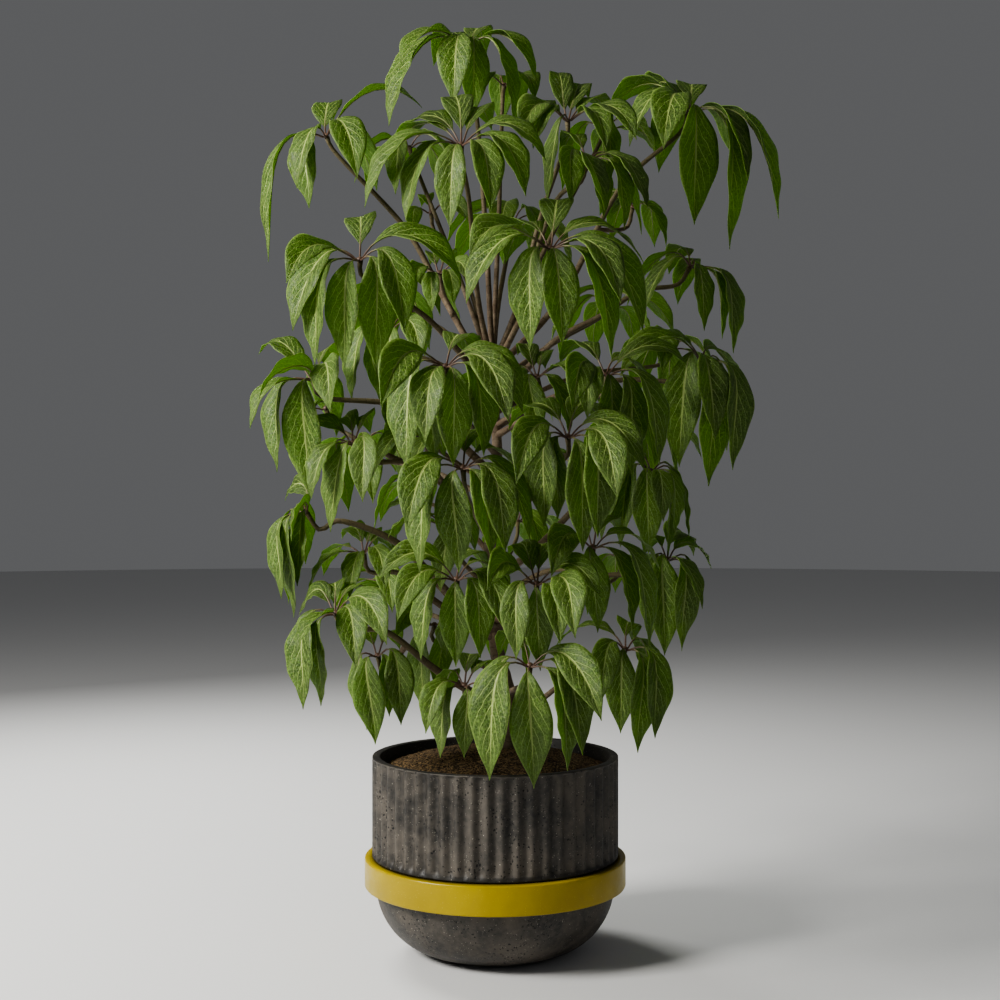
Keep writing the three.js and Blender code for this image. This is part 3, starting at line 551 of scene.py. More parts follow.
def tube(bm: Mesh, centres: list[Vector], radii: list[float], sides: int, along: Layer) -> Faces:
    """Adds a closed tube through a row of places.

    Args:
        bm: The mesh that gets it.
        centres: Places along its middle, in millimetres.
        radii: Its radius at each of them.
        sides: How many sides it has.
        along: The layer that gets the distance from its start, in millimetres.

    Returns:
        The tube's faces.
    """
    count = len(centres) - 1
    directions = [(centres[min(i + 1, count)] - centres[max(i - 1, 0)]).normalized()
                  for i in range(count + 1)]
    side = directions[0].orthogonal().normalized()
    sideways, gone = [], distances(centres)
    for direction in directions:
        side = (side - direction * side.dot(direction)).normalized()
        sideways.append((side.copy(), direction.cross(side)))
    grid = bmesh.ops.create_grid(bm, x_segments=sides, y_segments=count, size=1)["verts"]
    known = {(round((v.co.x + 1) / 2 * sides), round((v.co.y + 1) / 2 * count)): v for v in grid}
    for (k, i), v in known.items():
        turn = TURN * k / sides
        a, b = sideways[i]
        v.co = (centres[i] + (a * math.cos(turn) + b * math.sin(turn)) * radii[i]) * MM
        v[along] = gone[i]
    seam = {known[sides, i]: known[0, i] for i in range(count + 1)}
    bmesh.ops.weld_verts(bm, targetmap=seam)
    verts = [v for v in grid if v.is_valid]
    ends = [e for e in {e for v in verts for e in v.link_edges} if e.is_boundary]
    bmesh.ops.holes_fill(bm, edges=ends, sides=0)
    faces = list({f for v in verts for f in v.link_faces})
    bmesh.ops.recalc_face_normals(bm, faces=faces)
    return faces


def spun(bm: Mesh, profile: list[Point2], steps: int, closed: bool = False) -> Mesh:
    """Turns a section about the upright axis.

    Args:
        bm: An empty mesh, which gets the surface in metres.
        profile: Points as radius and height, in millimetres.
        steps: How many steps the turn has.
        closed: True if the section joins its last point to its first.

    Returns:
        The same mesh, facing out.
    """
    verts = [bm.verts.new((r * MM, 0, z * MM)) for r, z in profile]
    pairs = list(zip(verts, verts[1:])) + ([(verts[-1], verts[0])] if closed else [])
    edges = [bm.edges.new(pair) for pair in pairs]
    bmesh.ops.spin(bm, geom=verts + edges, cent=(0, 0, 0), axis=(0, 0, 1), angle=TURN,
                   steps=steps, use_merge=True)
    bmesh.ops.remove_doubles(bm, verts=bm.verts[:], dist=1e-6)
    bmesh.ops.recalc_face_normals(bm, faces=bm.faces[:])
    return bm


def piece(name: str, bm: Mesh, materials: list[Material], node: str) -> bpy.types.Object:
    """Makes a mesh an object of the plant that stands for a solid of the frame.

    Args:
        name: The object's name.
        bm: Its mesh, in metres, which is used up.
        materials: Its materials, in the order of its faces' indices.
        node: The solid that it stands for.

    Returns:
        The new object.
    """
    for face in bm.faces:
        face.smooth = True
    mesh = bpy.data.meshes.new(name)
    bm.to_mesh(mesh)
    bm.free()
    for material in materials:
        mesh.materials.append(material)
    made = bpy.data.objects.new(name, mesh)
    bpy.context.scene.collection.objects.link(made)
    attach(made, BODY)
    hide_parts(node)
    LOG.info("%s: %d faces", name, len(mesh.polygons))
    return made


class Ramp(NamedTuple):
    """A smooth step: the values it spans, and what it gives at the two ends."""

    low: Value
    high: float
    start: float = 0.0
    end: float = 1.0


class Clouds(NamedTuple):
    """Cloudy noise: its cells a metre, its levels of detail and how much the fine ones show."""

    scale: Value
    detail: float = 3.0
    roughness: float = 0.55


class Relief(NamedTuple):
    """A bump: how much of it shows, and its depth in metres."""

    strength: float
    depth: float


class Nodes:
    """A short way to write a shader's nodes.

    Attributes:
        tree: The node tree that they go in.
    """

    def __init__(self, tree: Tree) -> None:
        """Starts on a tree."""
        self.tree = tree

    def add(self, kind: str, **settings: object) -> Node:
        """Adds a node.

        Args:
            kind: The node's type.
            **settings: Its own settings by name.

        Returns:
            The node.
        """
        made = self.tree.nodes.new(kind)
        for name, value in settings.items():
            setattr(made, name, value)
        return made

    def feed(self, socket: Socket, value: Value) -> None:
        """Links a socket to another one, or sets its value.

        Args:
            socket: The socket that is fed.
            value: A socket or a value, or None to leave it alone.
        """
        if isinstance(value, bpy.types.NodeSocket):
            self.tree.links.new(value, socket)
        elif value is not None:
            socket.default_value = value

    def fill(self, made: Node, **values: Value) -> Node:
        """Feeds a node's inputs by name.

        Args:
            made: The node.
            **values: What each input gets, with underscores for the spaces in its name.

        Returns:
            The same node.
        """
        for name, value in values.items():
            self.feed(made.inputs[name.replace("_", " ")], value)
        return made

    def math(self, operation: str, a: Value, b: Value = None, clamped: bool = False) -> Socket:
        """Works a sum.

        Args:
            operation: Its name.
            a: The first value.
            b: The second value, if it takes one.
            clamped: True if the result stays between 0 and 1.

        Returns:
            The result.
        """
        made = self.add("ShaderNodeMath", operation=operation, use_clamp=clamped)
        self.feed(made.inputs[0], a)
        self.feed(made.inputs[1], b)
        return made.outputs[0]

    def plus(self, a: Value, b: Value, clamped: bool = False) -> Socket:
        """The sum of two values."""
        return self.math("ADD", a, b, clamped)

    def minus(self, a: Value, b: Value) -> Socket:
        """One value less another."""
        return self.math("SUBTRACT", a, b)

    def times(self, a: Value, b: Value, clamped: bool = False) -> Socket:
        """One value times another."""
        return self.math("MULTIPLY", a, b, clamped)

    def larger(self, a: Value, b: Value) -> Socket:
        """The larger of two values."""
        return self.math("MAXIMUM", a, b)

    def ramp(self, value: Value, steps: Ramp) -> Socket:
        """Maps a value smoothly onto a range.

        Args:
            value: The value.
            steps: What is mapped onto what.

        Returns:
            The mapped value.
        """
        made = self.add("ShaderNodeMapRange", interpolation_type="SMOOTHSTEP")
        self.fill(made, Value=value, From_Min=steps.low, From_Max=steps.high, To_Min=steps.start,
                  To_Max=steps.end)
        return made.outputs[0]

    def mix(self, share: Value, a: Value, b: Value) -> Socket:
        """Mixes two colours.

        Args:
            share: How much of the second shows.
            a: The first colour.
            b: The second colour.

        Returns:
            The mixed colour.
        """
        made = self.add("ShaderNodeMix", data_type="RGBA", blend_type="MIX")
        self.feed(made.inputs[0], share)
        self.feed(made.inputs[6], a)
        self.feed(made.inputs[7], b)
        return made.outputs[2]

    def tint(self, colour: Value, mask: Value, share: float, other: Value) -> Socket:
        """Lets a share of another colour show where a mask is."""
        return self.mix(self.times(mask, share), colour, other)

    def noise(self, where: Socket, clouds: Clouds) -> Socket:
        """Cloudy noise.

        Args:
            where: The place.
            clouds: What the noise is like.

        Returns:
            Its value.
        """
        made = self.add("ShaderNodeTexNoise")
        self.fill(made, Vector=where, Scale=clouds.scale, Detail=clouds.detail,
                  Roughness=clouds.roughness)
        return made.outputs[0]

    def clouded(self, where: Socket, clouds: Clouds, steps: Ramp) -> Socket:
        """Cloudy noise at a place, mapped onto a range."""
        return self.ramp(self.noise(where, clouds), steps)

    def cells(self, where: Socket, scale: Value, feature: str = "F1") -> Node:
        """Scattered cells, so many a metre."""
        made = self.add("ShaderNodeTexVoronoi", feature=feature)
        return self.fill(made, Vector=where, Scale=scale)

    def bump(self, height: Socket, relief: Relief, normal: Socket | None = None) -> Socket:
        """A normal raised by a height.

        Args:
            height: The height, as a share of the relief's depth.
            relief: How deep it is.
            normal: A normal that it builds on.

        Returns:
            The new normal.
        """
        made = self.add("ShaderNodeBump")
        self.fill(made, Strength=relief.strength, Distance=relief.depth, Height=height, Normal=normal)
        return made.outputs[0]

    def attribute(self, name: str) -> Socket:
        """A number that the mesh carries at each point."""
        return self.add("ShaderNodeAttribute", attribute_name=name).outputs["Fac"]

    def place(self) -> Socket:
        """The surface's own coordinates, in metres."""
        return self.add("ShaderNodeTexCoord").outputs["Object"]

    def group(self, tree: Tree, **values: Value) -> Node:
        """Places a node group with its inputs set by name."""
        return self.fill(self.add("ShaderNodeGroup", node_tree=tree), **values)


def rgb(red: float, green: float, blue: float) -> Colour:
    """A colour as seen on screen, from 0 to 255, as the shader wants it."""
    colour = Color((red / 255, green / 255, blue / 255)).from_srgb_to_scene_linear()
    return (*colour, 1.0)


@dataclass(frozen=True)
class Effect:
    """A shader node group that several materials share.

    Attributes:
        name: The group's name.
        inputs: Its number inputs and their defaults.
        outputs: Its number outputs.
        placed: True if it also takes a place.
    """

    name: str
    inputs: tuple[tuple[str, float], ...]
    outputs: tuple[str, ...]
    placed: bool

    def start(self) -> tuple[Nodes, Node]:
        """Makes the group with its sockets.

        Returns:
            The group's nodes and its input node.
        """
        tree = bpy.data.node_groups.new(self.name, "ShaderNodeTree")
        if self.placed:
            tree.interface.new_socket("Vector", in_out="INPUT", socket_type="NodeSocketVector")
        for name, value in self.inputs:
            socket = tree.interface.new_socket(name, in_out="INPUT", socket_type="NodeSocketFloat")
            socket.default_value = value
        for name in self.outputs:
            tree.interface.new_socket(name, in_out="OUTPUT", socket_type="NodeSocketFloat")
        nodes = Nodes(tree)
        return nodes, nodes.add("NodeGroupInput")

    def close(self, nodes: Nodes, *values: Socket) -> Tree:
        """Gives the group its results, in the order of its outputs.

        Args:
            nodes: The group's nodes.
            *values: Its results.

        Returns:
            The group.
        """
        given = nodes.add("NodeGroupOutput")
        for name, value in zip(self.outputs, values):
            nodes.feed(given.inputs[name], value)
        return nodes.tree


@dataclass(frozen=True)
class Weathering(Effect):
    """Clouds, pits and pale flecks for anything cast or painted. Scales are in cells a metre."""

    name: str = "Weathering"
    inputs: tuple[tuple[str, float], ...] = (
        ("Cloud Scale", 14.0), ("Pit Scale", 190.0), ("Pit Size", 0.2), ("Fleck Scale", 260.0))
    outputs: tuple[str, ...] = ("Cloud", "Pit", "Fleck", "Height")
    placed: bool = True
    cloud_detail: float = 6.0
    cloud_roughness: float = 0.62
    clouds: Ramp = Ramp(0.36, 0.68)
    bend_scale: float = 150.0
    bend: float = 0.007
    pit_choice: Ramp = Ramp(0.42, 0.47)
    patches: Clouds = Clouds(22.0, 2.0)
    patch_size: Ramp = Ramp(0.42, 0.6, 0.5, 1.0)
    pit_steepness: float = 14.0
    fleck_choice: Ramp = Ramp(0.56, 0.62)
    fleck_edge: Ramp = Ramp(0.2, 0.1)
    grain: Clouds = Clouds(700.0, 2.0)
    grain_height: float = 0.25

    def build(self) -> Tree:
        """Makes the group.

        Returns:
            The group.
        """
        nodes, taken = self.start()
        where = taken.outputs["Vector"]
        clouds = Clouds(taken.outputs["Cloud Scale"], self.cloud_detail, self.cloud_roughness)
        cloud = nodes.clouded(where, clouds, self.clouds)
        wander = nodes.fill(nodes.add("ShaderNodeTexNoise"), Vector=where, Scale=self.bend_scale)
        bent = nodes.add("ShaderNodeVectorMath", operation="SCALE")
        nodes.feed(bent.inputs[0], wander.outputs["Color"])
        nodes.fill(bent, Scale=self.bend)
        shifted = nodes.add("ShaderNodeVectorMath", operation="ADD")
        nodes.feed(shifted.inputs[0], where)
        nodes.feed(shifted.inputs[1], bent.outputs[0])
        pits = nodes.cells(shifted.outputs[0], taken.outputs["Pit Scale"])
        edge = nodes.times(taken.outputs["Pit Size"], nodes.clouded(where, self.patches, self.patch_size))
        hole = nodes.times(nodes.minus(edge, pits.outputs["Distance"]), self.pit_steepness, clamped=True)
        pit = nodes.times(hole, nodes.ramp(pits.outputs["Color"], self.pit_choice))
        flecks = nodes.cells(shifted.outputs[0], taken.outputs["Fleck Scale"])
        fleck = nodes.times(nodes.ramp(flecks.outputs["Distance"], self.fleck_edge),
                            nodes.ramp(flecks.outputs["Color"], self.fleck_choice))
        raised = nodes.minus(nodes.times(nodes.noise(where, self.grain), self.grain_height), pit)
        return self.close(nodes, cloud, pit, fleck, raised)


@dataclass(frozen=True)
class LeafPattern(Effect):
    """Midrib, side veins and fine net of a leaflet, on its own map."""

    name: str = "Leaf pattern"
    inputs: tuple[tuple[str, float], ...] = (("Veins", 7.0), ("Sweep", 2.9), ("Vein Width", 0.07))
    outputs: tuple[str, ...] = ("Midrib", "Vein", "Net", "Edge")
    placed: bool = False
    length: float = 4.5
    sway: float = 0.8
    sways: Clouds = Clouds(1.6, 1.0)
    sweep_curve: float = 1.15
    offset: float = 0.25
    vein_core: float = 0.02
    vein_fade: Ramp = Ramp(0.95, 0.35, 0.25, 1.0)
    rib_end: float = 1.2
    rib_width: float = 0.07
    rib_edge: Ramp = Ramp(-0.02, 0.02)
    net_scale: float = 8.0
    net_line: Ramp = Ramp(0.18, 0.03)
    edge_line: Ramp = Ramp(0.9, 1.0)

    def build(self) -> Tree:
        """Makes the group.

        Returns:
            The group.
        """
        nodes, taken = self.start()
        parts = nodes.add("ShaderNodeSeparateXYZ")
        nodes.feed(parts.inputs[0], nodes.add("ShaderNodeUVMap", uv_map="LeafMap").outputs[0])
        across, along = parts.outputs[0], parts.outputs[1]
        aside = nodes.minus(nodes.times(across, 2.0), 1.0)
        out = nodes.math("ABSOLUTE", aside)
        real = nodes.fill(nodes.add("ShaderNodeCombineXYZ"), X=aside, Y=nodes.times(along, self.length))
        sway = nodes.times(nodes.noise(real.outputs[0], self.sways), self.sway)
        swept = nodes.times(nodes.math("POWER", out, self.sweep_curve), taken.outputs["Sweep"])
        order = nodes.minus(nodes.times(along, taken.outputs["Veins"]), swept)
        order = nodes.plus(order, nodes.times(nodes.math("SIGN", aside), self.offset))
        order = nodes.plus(order, sway)
        off = nodes.math("ABSOLUTE", nodes.minus(nodes.math("FRACT", order), 0.5))
        line = nodes.ramp(off, Ramp(taken.outputs["Vein Width"], self.vein_core))
        vein = nodes.times(line, nodes.ramp(out, self.vein_fade))
        taper = nodes.times(nodes.minus(self.rib_end, along), self.rib_width)
        rib = nodes.ramp(nodes.minus(taper, out), self.rib_edge)
        net = nodes.cells(real.outputs[0], self.net_scale, "DISTANCE_TO_EDGE")
        mesh = nodes.ramp(net.outputs["Distance"], self.net_line)
        return self.close(nodes, rib, vein, mesh, nodes.ramp(out, self.edge_line))


@dataclass(frozen=True)
class Finish:
    """What every finish shares: a named material with one Principled shader.

    Attributes:
        name: The material's name.
        roughness: How dull the surface is.
    """

    name: str
    roughness: float

    def start(self) -> tuple[Material, Nodes, Node]:
        """Makes the material.

        Returns:
            The material, its nodes and its Principled shader.
        """
        made = bpy.data.materials.new(self.name)
        made.use_nodes = True
        shader = made.node_tree.nodes["Principled BSDF"]
        nodes = Nodes(made.node_tree)
        nodes.fill(shader, Roughness=self.roughness)
        return made, nodes, shader


@dataclass(frozen=True)
class ConcreteFinish(Finish):
    """Cast concrete: cloudy grey-brown with dark pits and a few pale flecks, with painted shade in its
    grooves, inside and at its foot, and a darker rim top.
    """

    name: str = "cast_concrete"
    roughness: float = 0.6
    dark: Colour = rgb(36, 34, 31)
    pale: Colour = rgb(100, 93, 84)
    pit: Colour = rgb(12, 11, 10)
    fleck: Colour = rgb(186, 180, 168)
    painted_shade: Colour = rgb(24, 22, 20)
    cloud_scale: float = 17.0
    pit_scale: float = 200.0
    pit_size: float = 0.35
    fleck_scale: float = 300.0
    cloud_share: float = 0.7
    fine: Clouds = Clouds(120.0, 4.0)
    fine_range: Ramp = Ramp(0.35, 0.7)
    fine_share: float = 0.3
    groove_painted_shade: Ramp = Ramp(0.3, 1.0, 0.0, 0.12)
    deep_painted_shade: Ramp = Ramp(1.1, 1.7, 0.0, 0.85)
    fleck_share: float = 0.7
    dullness: Ramp = Ramp(0.0, 1.0, 0.48, 0.66)
    relief: Relief = Relief(0.7, 0.0012)

    def dress(self, weather: Tree) -> Material:
        """Makes the material.

        Args:
            weather: The shared weathering group.

        Returns:
            The material.
        """
        made, nodes, shader = self.start()
        where = nodes.place()
        worn = nodes.group(weather, Vector=where, Cloud_Scale=self.cloud_scale,
                           Pit_Scale=self.pit_scale, Pit_Size=self.pit_size,
                           Fleck_Scale=self.fleck_scale).outputs
        ground = nodes.tint(self.dark, worn["Cloud"], self.cloud_share, self.pale)
        fine = nodes.clouded(where, self.fine, self.fine_range)
        ground = nodes.tint(ground, fine, self.fine_share, self.pale)
        # Painted shade: the mesh's mask darkens the flutes' grooves, the inside and the wall's foot towards
        # a near-black colour, and darkens the rim's flat top as well.
        painted_shade_mask = nodes.attribute("painted_shade_mask")
        painted_shade_share = nodes.larger(nodes.ramp(painted_shade_mask, self.groove_painted_shade), nodes.ramp(painted_shade_mask, self.deep_painted_shade))
        ground = nodes.mix(painted_shade_share, ground, self.painted_shade)
        flecked = nodes.tint(ground, worn["Fleck"], self.fleck_share, self.fleck)
        nodes.fill(shader, Base_Color=nodes.mix(worn["Pit"], flecked, self.pit),
                   Roughness=nodes.ramp(worn["Cloud"], self.dullness),
                   Normal=nodes.bump(worn["Height"], self.relief))
        return made


@dataclass(frozen=True)
class PaintFinish(Finish):
    """Satin yellow paint with a faint orange peel, small scuffs and pale specks."""

    name: str = "yellow_paint"
    roughness: float = 0.38
    paint: Colour = rgb(164, 143, 0)
    worn: Colour = rgb(118, 99, 4)
    speck: Colour = rgb(236, 222, 120)
    cloud_scale: float = 9.0
    pit_scale: float = 150.0
    pit_size: float = 0.12
    speck_scale: float = 340.0
    scuff_share: float = 0.35
    speck_share: float = 0.35
    wear: Clouds = Clouds(40.0, 5.0, 0.7)
    dullness: Ramp = Ramp(0.3, 0.75, 0.3, 0.46)
    gloss: float = 0.3
    coat: float = 0.2
    coat_roughness: float = 0.16
    peel: Clouds = Clouds(420.0, 2.0)
    relief: Relief = Relief(0.25, 0.0004)

    def dress(self, weather: Tree) -> Material:
        """Makes the material.

        Args:
            weather: The shared weathering group.

        Returns:
            The material.
        """
        made, nodes, shader = self.start()
        where = nodes.place()
        scuff = nodes.group(weather, Vector=where, Cloud_Scale=self.cloud_scale,
                            Pit_Scale=self.pit_scale, Pit_Size=self.pit_size,
                            Fleck_Scale=self.speck_scale).outputs
        colour = nodes.tint(self.paint, scuff["Cloud"], self.scuff_share, self.worn)
        colour = nodes.tint(colour, scuff["Fleck"], self.speck_share, self.speck)
        nodes.fill(shader, Base_Color=colour, Roughness=nodes.clouded(where, self.wear, self.dullness),
                   Specular_IOR_Level=self.gloss, Coat_Weight=self.coat,
                   Coat_Roughness=self.coat_roughness,
                   Normal=nodes.bump(nodes.noise(where, self.peel), self.relief))
        return made


@dataclass(frozen=True)
class SoilFinish(Finish):
    """Moist crumbly potting soil, darker where it is damp."""

    name: str = "potting_soil"
    roughness: float = 0.95
    dark: Colour = rgb(40, 31, 20)
    warm: Colour = rgb(118, 96, 67)
    crumb_scale: float = 380.0
    tones: Ramp = Ramp(0.3, 0.9)
    damp: Clouds = Clouds(14.0, 4.0)
    damp_range: Ramp = Ramp(0.4, 0.7, 0.0, 0.45)
    gloss: float = 0.25
    grit: Clouds = Clouds(450.0, 4.0, 0.7)
    relief: Relief = Relief(1.0, 0.0025)

    def dress(self) -> Material:
        """Makes the material.

        Returns:
            The material.
        """
        made, nodes, shader = self.start()
        where = nodes.place()
        crumbs = nodes.cells(where, self.crumb_scale)
        colour = nodes.mix(nodes.ramp(crumbs.outputs["Color"], self.tones), self.dark, self.warm)
        damp = nodes.clouded(where, self.damp, self.damp_range)
        height = nodes.minus(nodes.noise(where, self.grit), crumbs.outputs["Distance"])
        nodes.fill(shader, Base_Color=nodes.mix(damp, colour, self.dark), Specular_IOR_Level=self.gloss,
                   Normal=nodes.bump(height, self.relief))
        return made


@dataclass(frozen=True)
class BarkFinish(Finish):
    """Smooth brown bark that turns greener towards the young stalks, with fine rings."""

    name: str = "bark"
    roughness: float = 0.72
    old: Colour = rgb(88, 70, 53)
    grey: Colour = rgb(122, 106, 86)
    young: Colour = rgb(90, 80, 54)
    crease: Colour = rgb(58, 44, 32)
    blotches: Clouds = Clouds(55.0, 5.0, 0.65)
    blotch_range: Ramp = Ramp(0.35, 0.68)
    ageing: Ramp = Ramp(0.75, 0.2)
    wobbles: Clouds = Clouds(90.0, 2.0)
    wobble: float = 9.0
    ring_gap: float = 6.5
    ring_line: Ramp = Ramp(1.1, 0.0)
    crease_share: float = 0.55
    crease_depth: float = 0.6
    fibres: Clouds = Clouds(260.0, 4.0)
    relief: Relief = Relief(0.6, 0.0012)

    def dress(self) -> Material:
        """Makes the material.

        Returns:
            The material.
        """
        made, nodes, shader = self.start()
        where = nodes.place()
        blotch = nodes.clouded(where, self.blotches, self.blotch_range)
        colour = nodes.mix(blotch, self.old, self.grey)
        colour = nodes.mix(nodes.ramp(nodes.attribute("age"), self.ageing), colour, self.young)
        wobble = nodes.times(nodes.noise(where, self.wobbles), self.wobble)
        ring = nodes.math("PINGPONG", nodes.plus(nodes.attribute("along"), wobble), self.ring_gap)
        crease = nodes.ramp(ring, self.ring_line)
        height = nodes.minus(nodes.noise(where, self.fibres), nodes.times(crease, self.crease_depth))
        nodes.fill(shader, Base_Color=nodes.tint(colour, crease, self.crease_share, self.crease),
                   Normal=nodes.bump(height, self.relief))
        return made


@dataclass(frozen=True)
class StalkletFinish(Finish):
    """The leaflets' slim stalks: purple-brown at the hub, greener towards the blade."""

    name: str = "stalklets"
    roughness: float = 0.5
    hub: Colour = rgb(92, 68, 54)
    far: Colour = rgb(132, 140, 84)
    spot: Colour = rgb(66, 44, 38)
    greening: Ramp = Ramp(14.0, 46.0)
    spots: Clouds = Clouds(300.0, 3.0)
    spot_range: Ramp = Ramp(0.35, 0.7, 0.0, 0.3)

    def dress(self) -> Material:
        """Makes the material.

        Returns:
            The material.
        """
        made, nodes, shader = self.start()
        share = nodes.ramp(nodes.attribute("along"), self.greening)
        spots = nodes.clouded(nodes.place(), self.spots, self.spot_range)
        colour = nodes.mix(share, self.hub, self.far)
        nodes.fill(shader, Base_Color=nodes.mix(spots, colour, self.spot))
        return made


@dataclass(frozen=True)
class LeafFinish(Finish):
    """A leaflet's surface: mottled green with paler veins, and light shining through.

    Attributes:
        deep: The darkest green.
        fresh: The paler green between.
        vein: The colour of midrib and veins.
        glow: The light that comes through the blade.
        through: How much of it comes through.
        relief: How the veins lie, with a negative depth where they are sunk.
    """

    name: str = "leaf_upper"
    roughness: float = 0.5
    deep: Colour = rgb(18, 40, 13)
    fresh: Colour = rgb(96, 126, 52)
    vein: Colour = rgb(186, 204, 118)
    glow: Colour = rgb(182, 226, 30)
    through: float = 0.33
    relief: Relief = Relief(0.8, -0.0008)
    mottle: Clouds = Clouds(42.0, 4.0, 0.6)
    mottle_range: Ramp = Ramp(0.32, 0.7)
    mottle_share: float = 0.26
    tone_share: float = 0.42
    bead_scale: float = 190.0
    bead_edge: Ramp = Ramp(0.5, 0.3)
    bead_tones: Ramp = Ramp(0.1, 0.7, 0.35, 1.0)
    bead_share: float = 0.62
    bead_relief: Relief = Relief(0.7, 0.0007)
    line_shares: tuple[tuple[str, float], ...] = (
        ("Net", 0.2), ("Vein", 0.85), ("Midrib", 0.9), ("Edge", 0.3))
    smoother: float = 0.06
    duller: float = 0.08
    gloss: float = 0.42
    vein_depth: float = 0.8
    net_depth: float = 0.3
    glow_rib: float = 0.5
    glow_tone: float = 0.35

    def dress(self, pattern: Tree) -> Material:
        """Makes the material.

        Args:
            pattern: The shared group of veins.

        Returns:
            The material.
        """
        made, nodes, shader = self.start()
        where, tone_and_painted_shade = nodes.place(), nodes.attribute("tone_and_painted_shade")
        lines = nodes.group(pattern).outputs
        cloud = nodes.clouded(where, self.mottle, self.mottle_range)
        bead = nodes.cells(where, self.bead_scale).outputs
        beads = nodes.times(nodes.ramp(bead["Distance"], self.bead_edge),
                            nodes.ramp(bead["Color"], self.bead_tones))
        # Each leaflet carries its own random lightness, lowered as painted shade for leaflets that go back.
        share = nodes.plus(nodes.times(cloud, self.mottle_share), nodes.times(tone_and_painted_shade, self.tone_share))
        share = nodes.plus(share, nodes.times(beads, self.bead_share), clamped=True)
        colour = nodes.mix(share, self.deep, self.fresh)
        for name, shown in self.line_shares:
            colour = nodes.tint(colour, lines[name], shown, self.vein)
        sunk = nodes.larger(nodes.times(lines["Vein"], self.vein_depth), lines["Midrib"])
        sunk = nodes.larger(sunk, nodes.times(lines["Net"], self.net_depth))
        normal = nodes.bump(sunk, self.relief, nodes.bump(beads, self.bead_relief))
        dullness = Ramp(0.0, 1.0, self.roughness - self.smoother, self.roughness + self.duller)
        nodes.fill(shader, Base_Color=colour, Roughness=nodes.ramp(cloud, dullness),
                   Specular_IOR_Level=self.gloss, Normal=normal)
        shine = nodes.tint(self.glow, lines["Midrib"], self.glow_rib, self.vein)
        shine = nodes.tint(shine, tone_and_painted_shade, self.glow_tone, self.fresh)
        light = nodes.fill(nodes.add("ShaderNodeBsdfTranslucent"), Color=shine, Normal=normal)
        both = nodes.add("ShaderNodeMixShader")
        both.inputs[0].default_value = self.through
        nodes.feed(both.inputs[1], shader.outputs[0])
        nodes.feed(both.inputs[2], light.outputs[0])
        nodes.fill(made.node_tree.nodes["Material Output"], Surface=both.outputs[0])
        return made


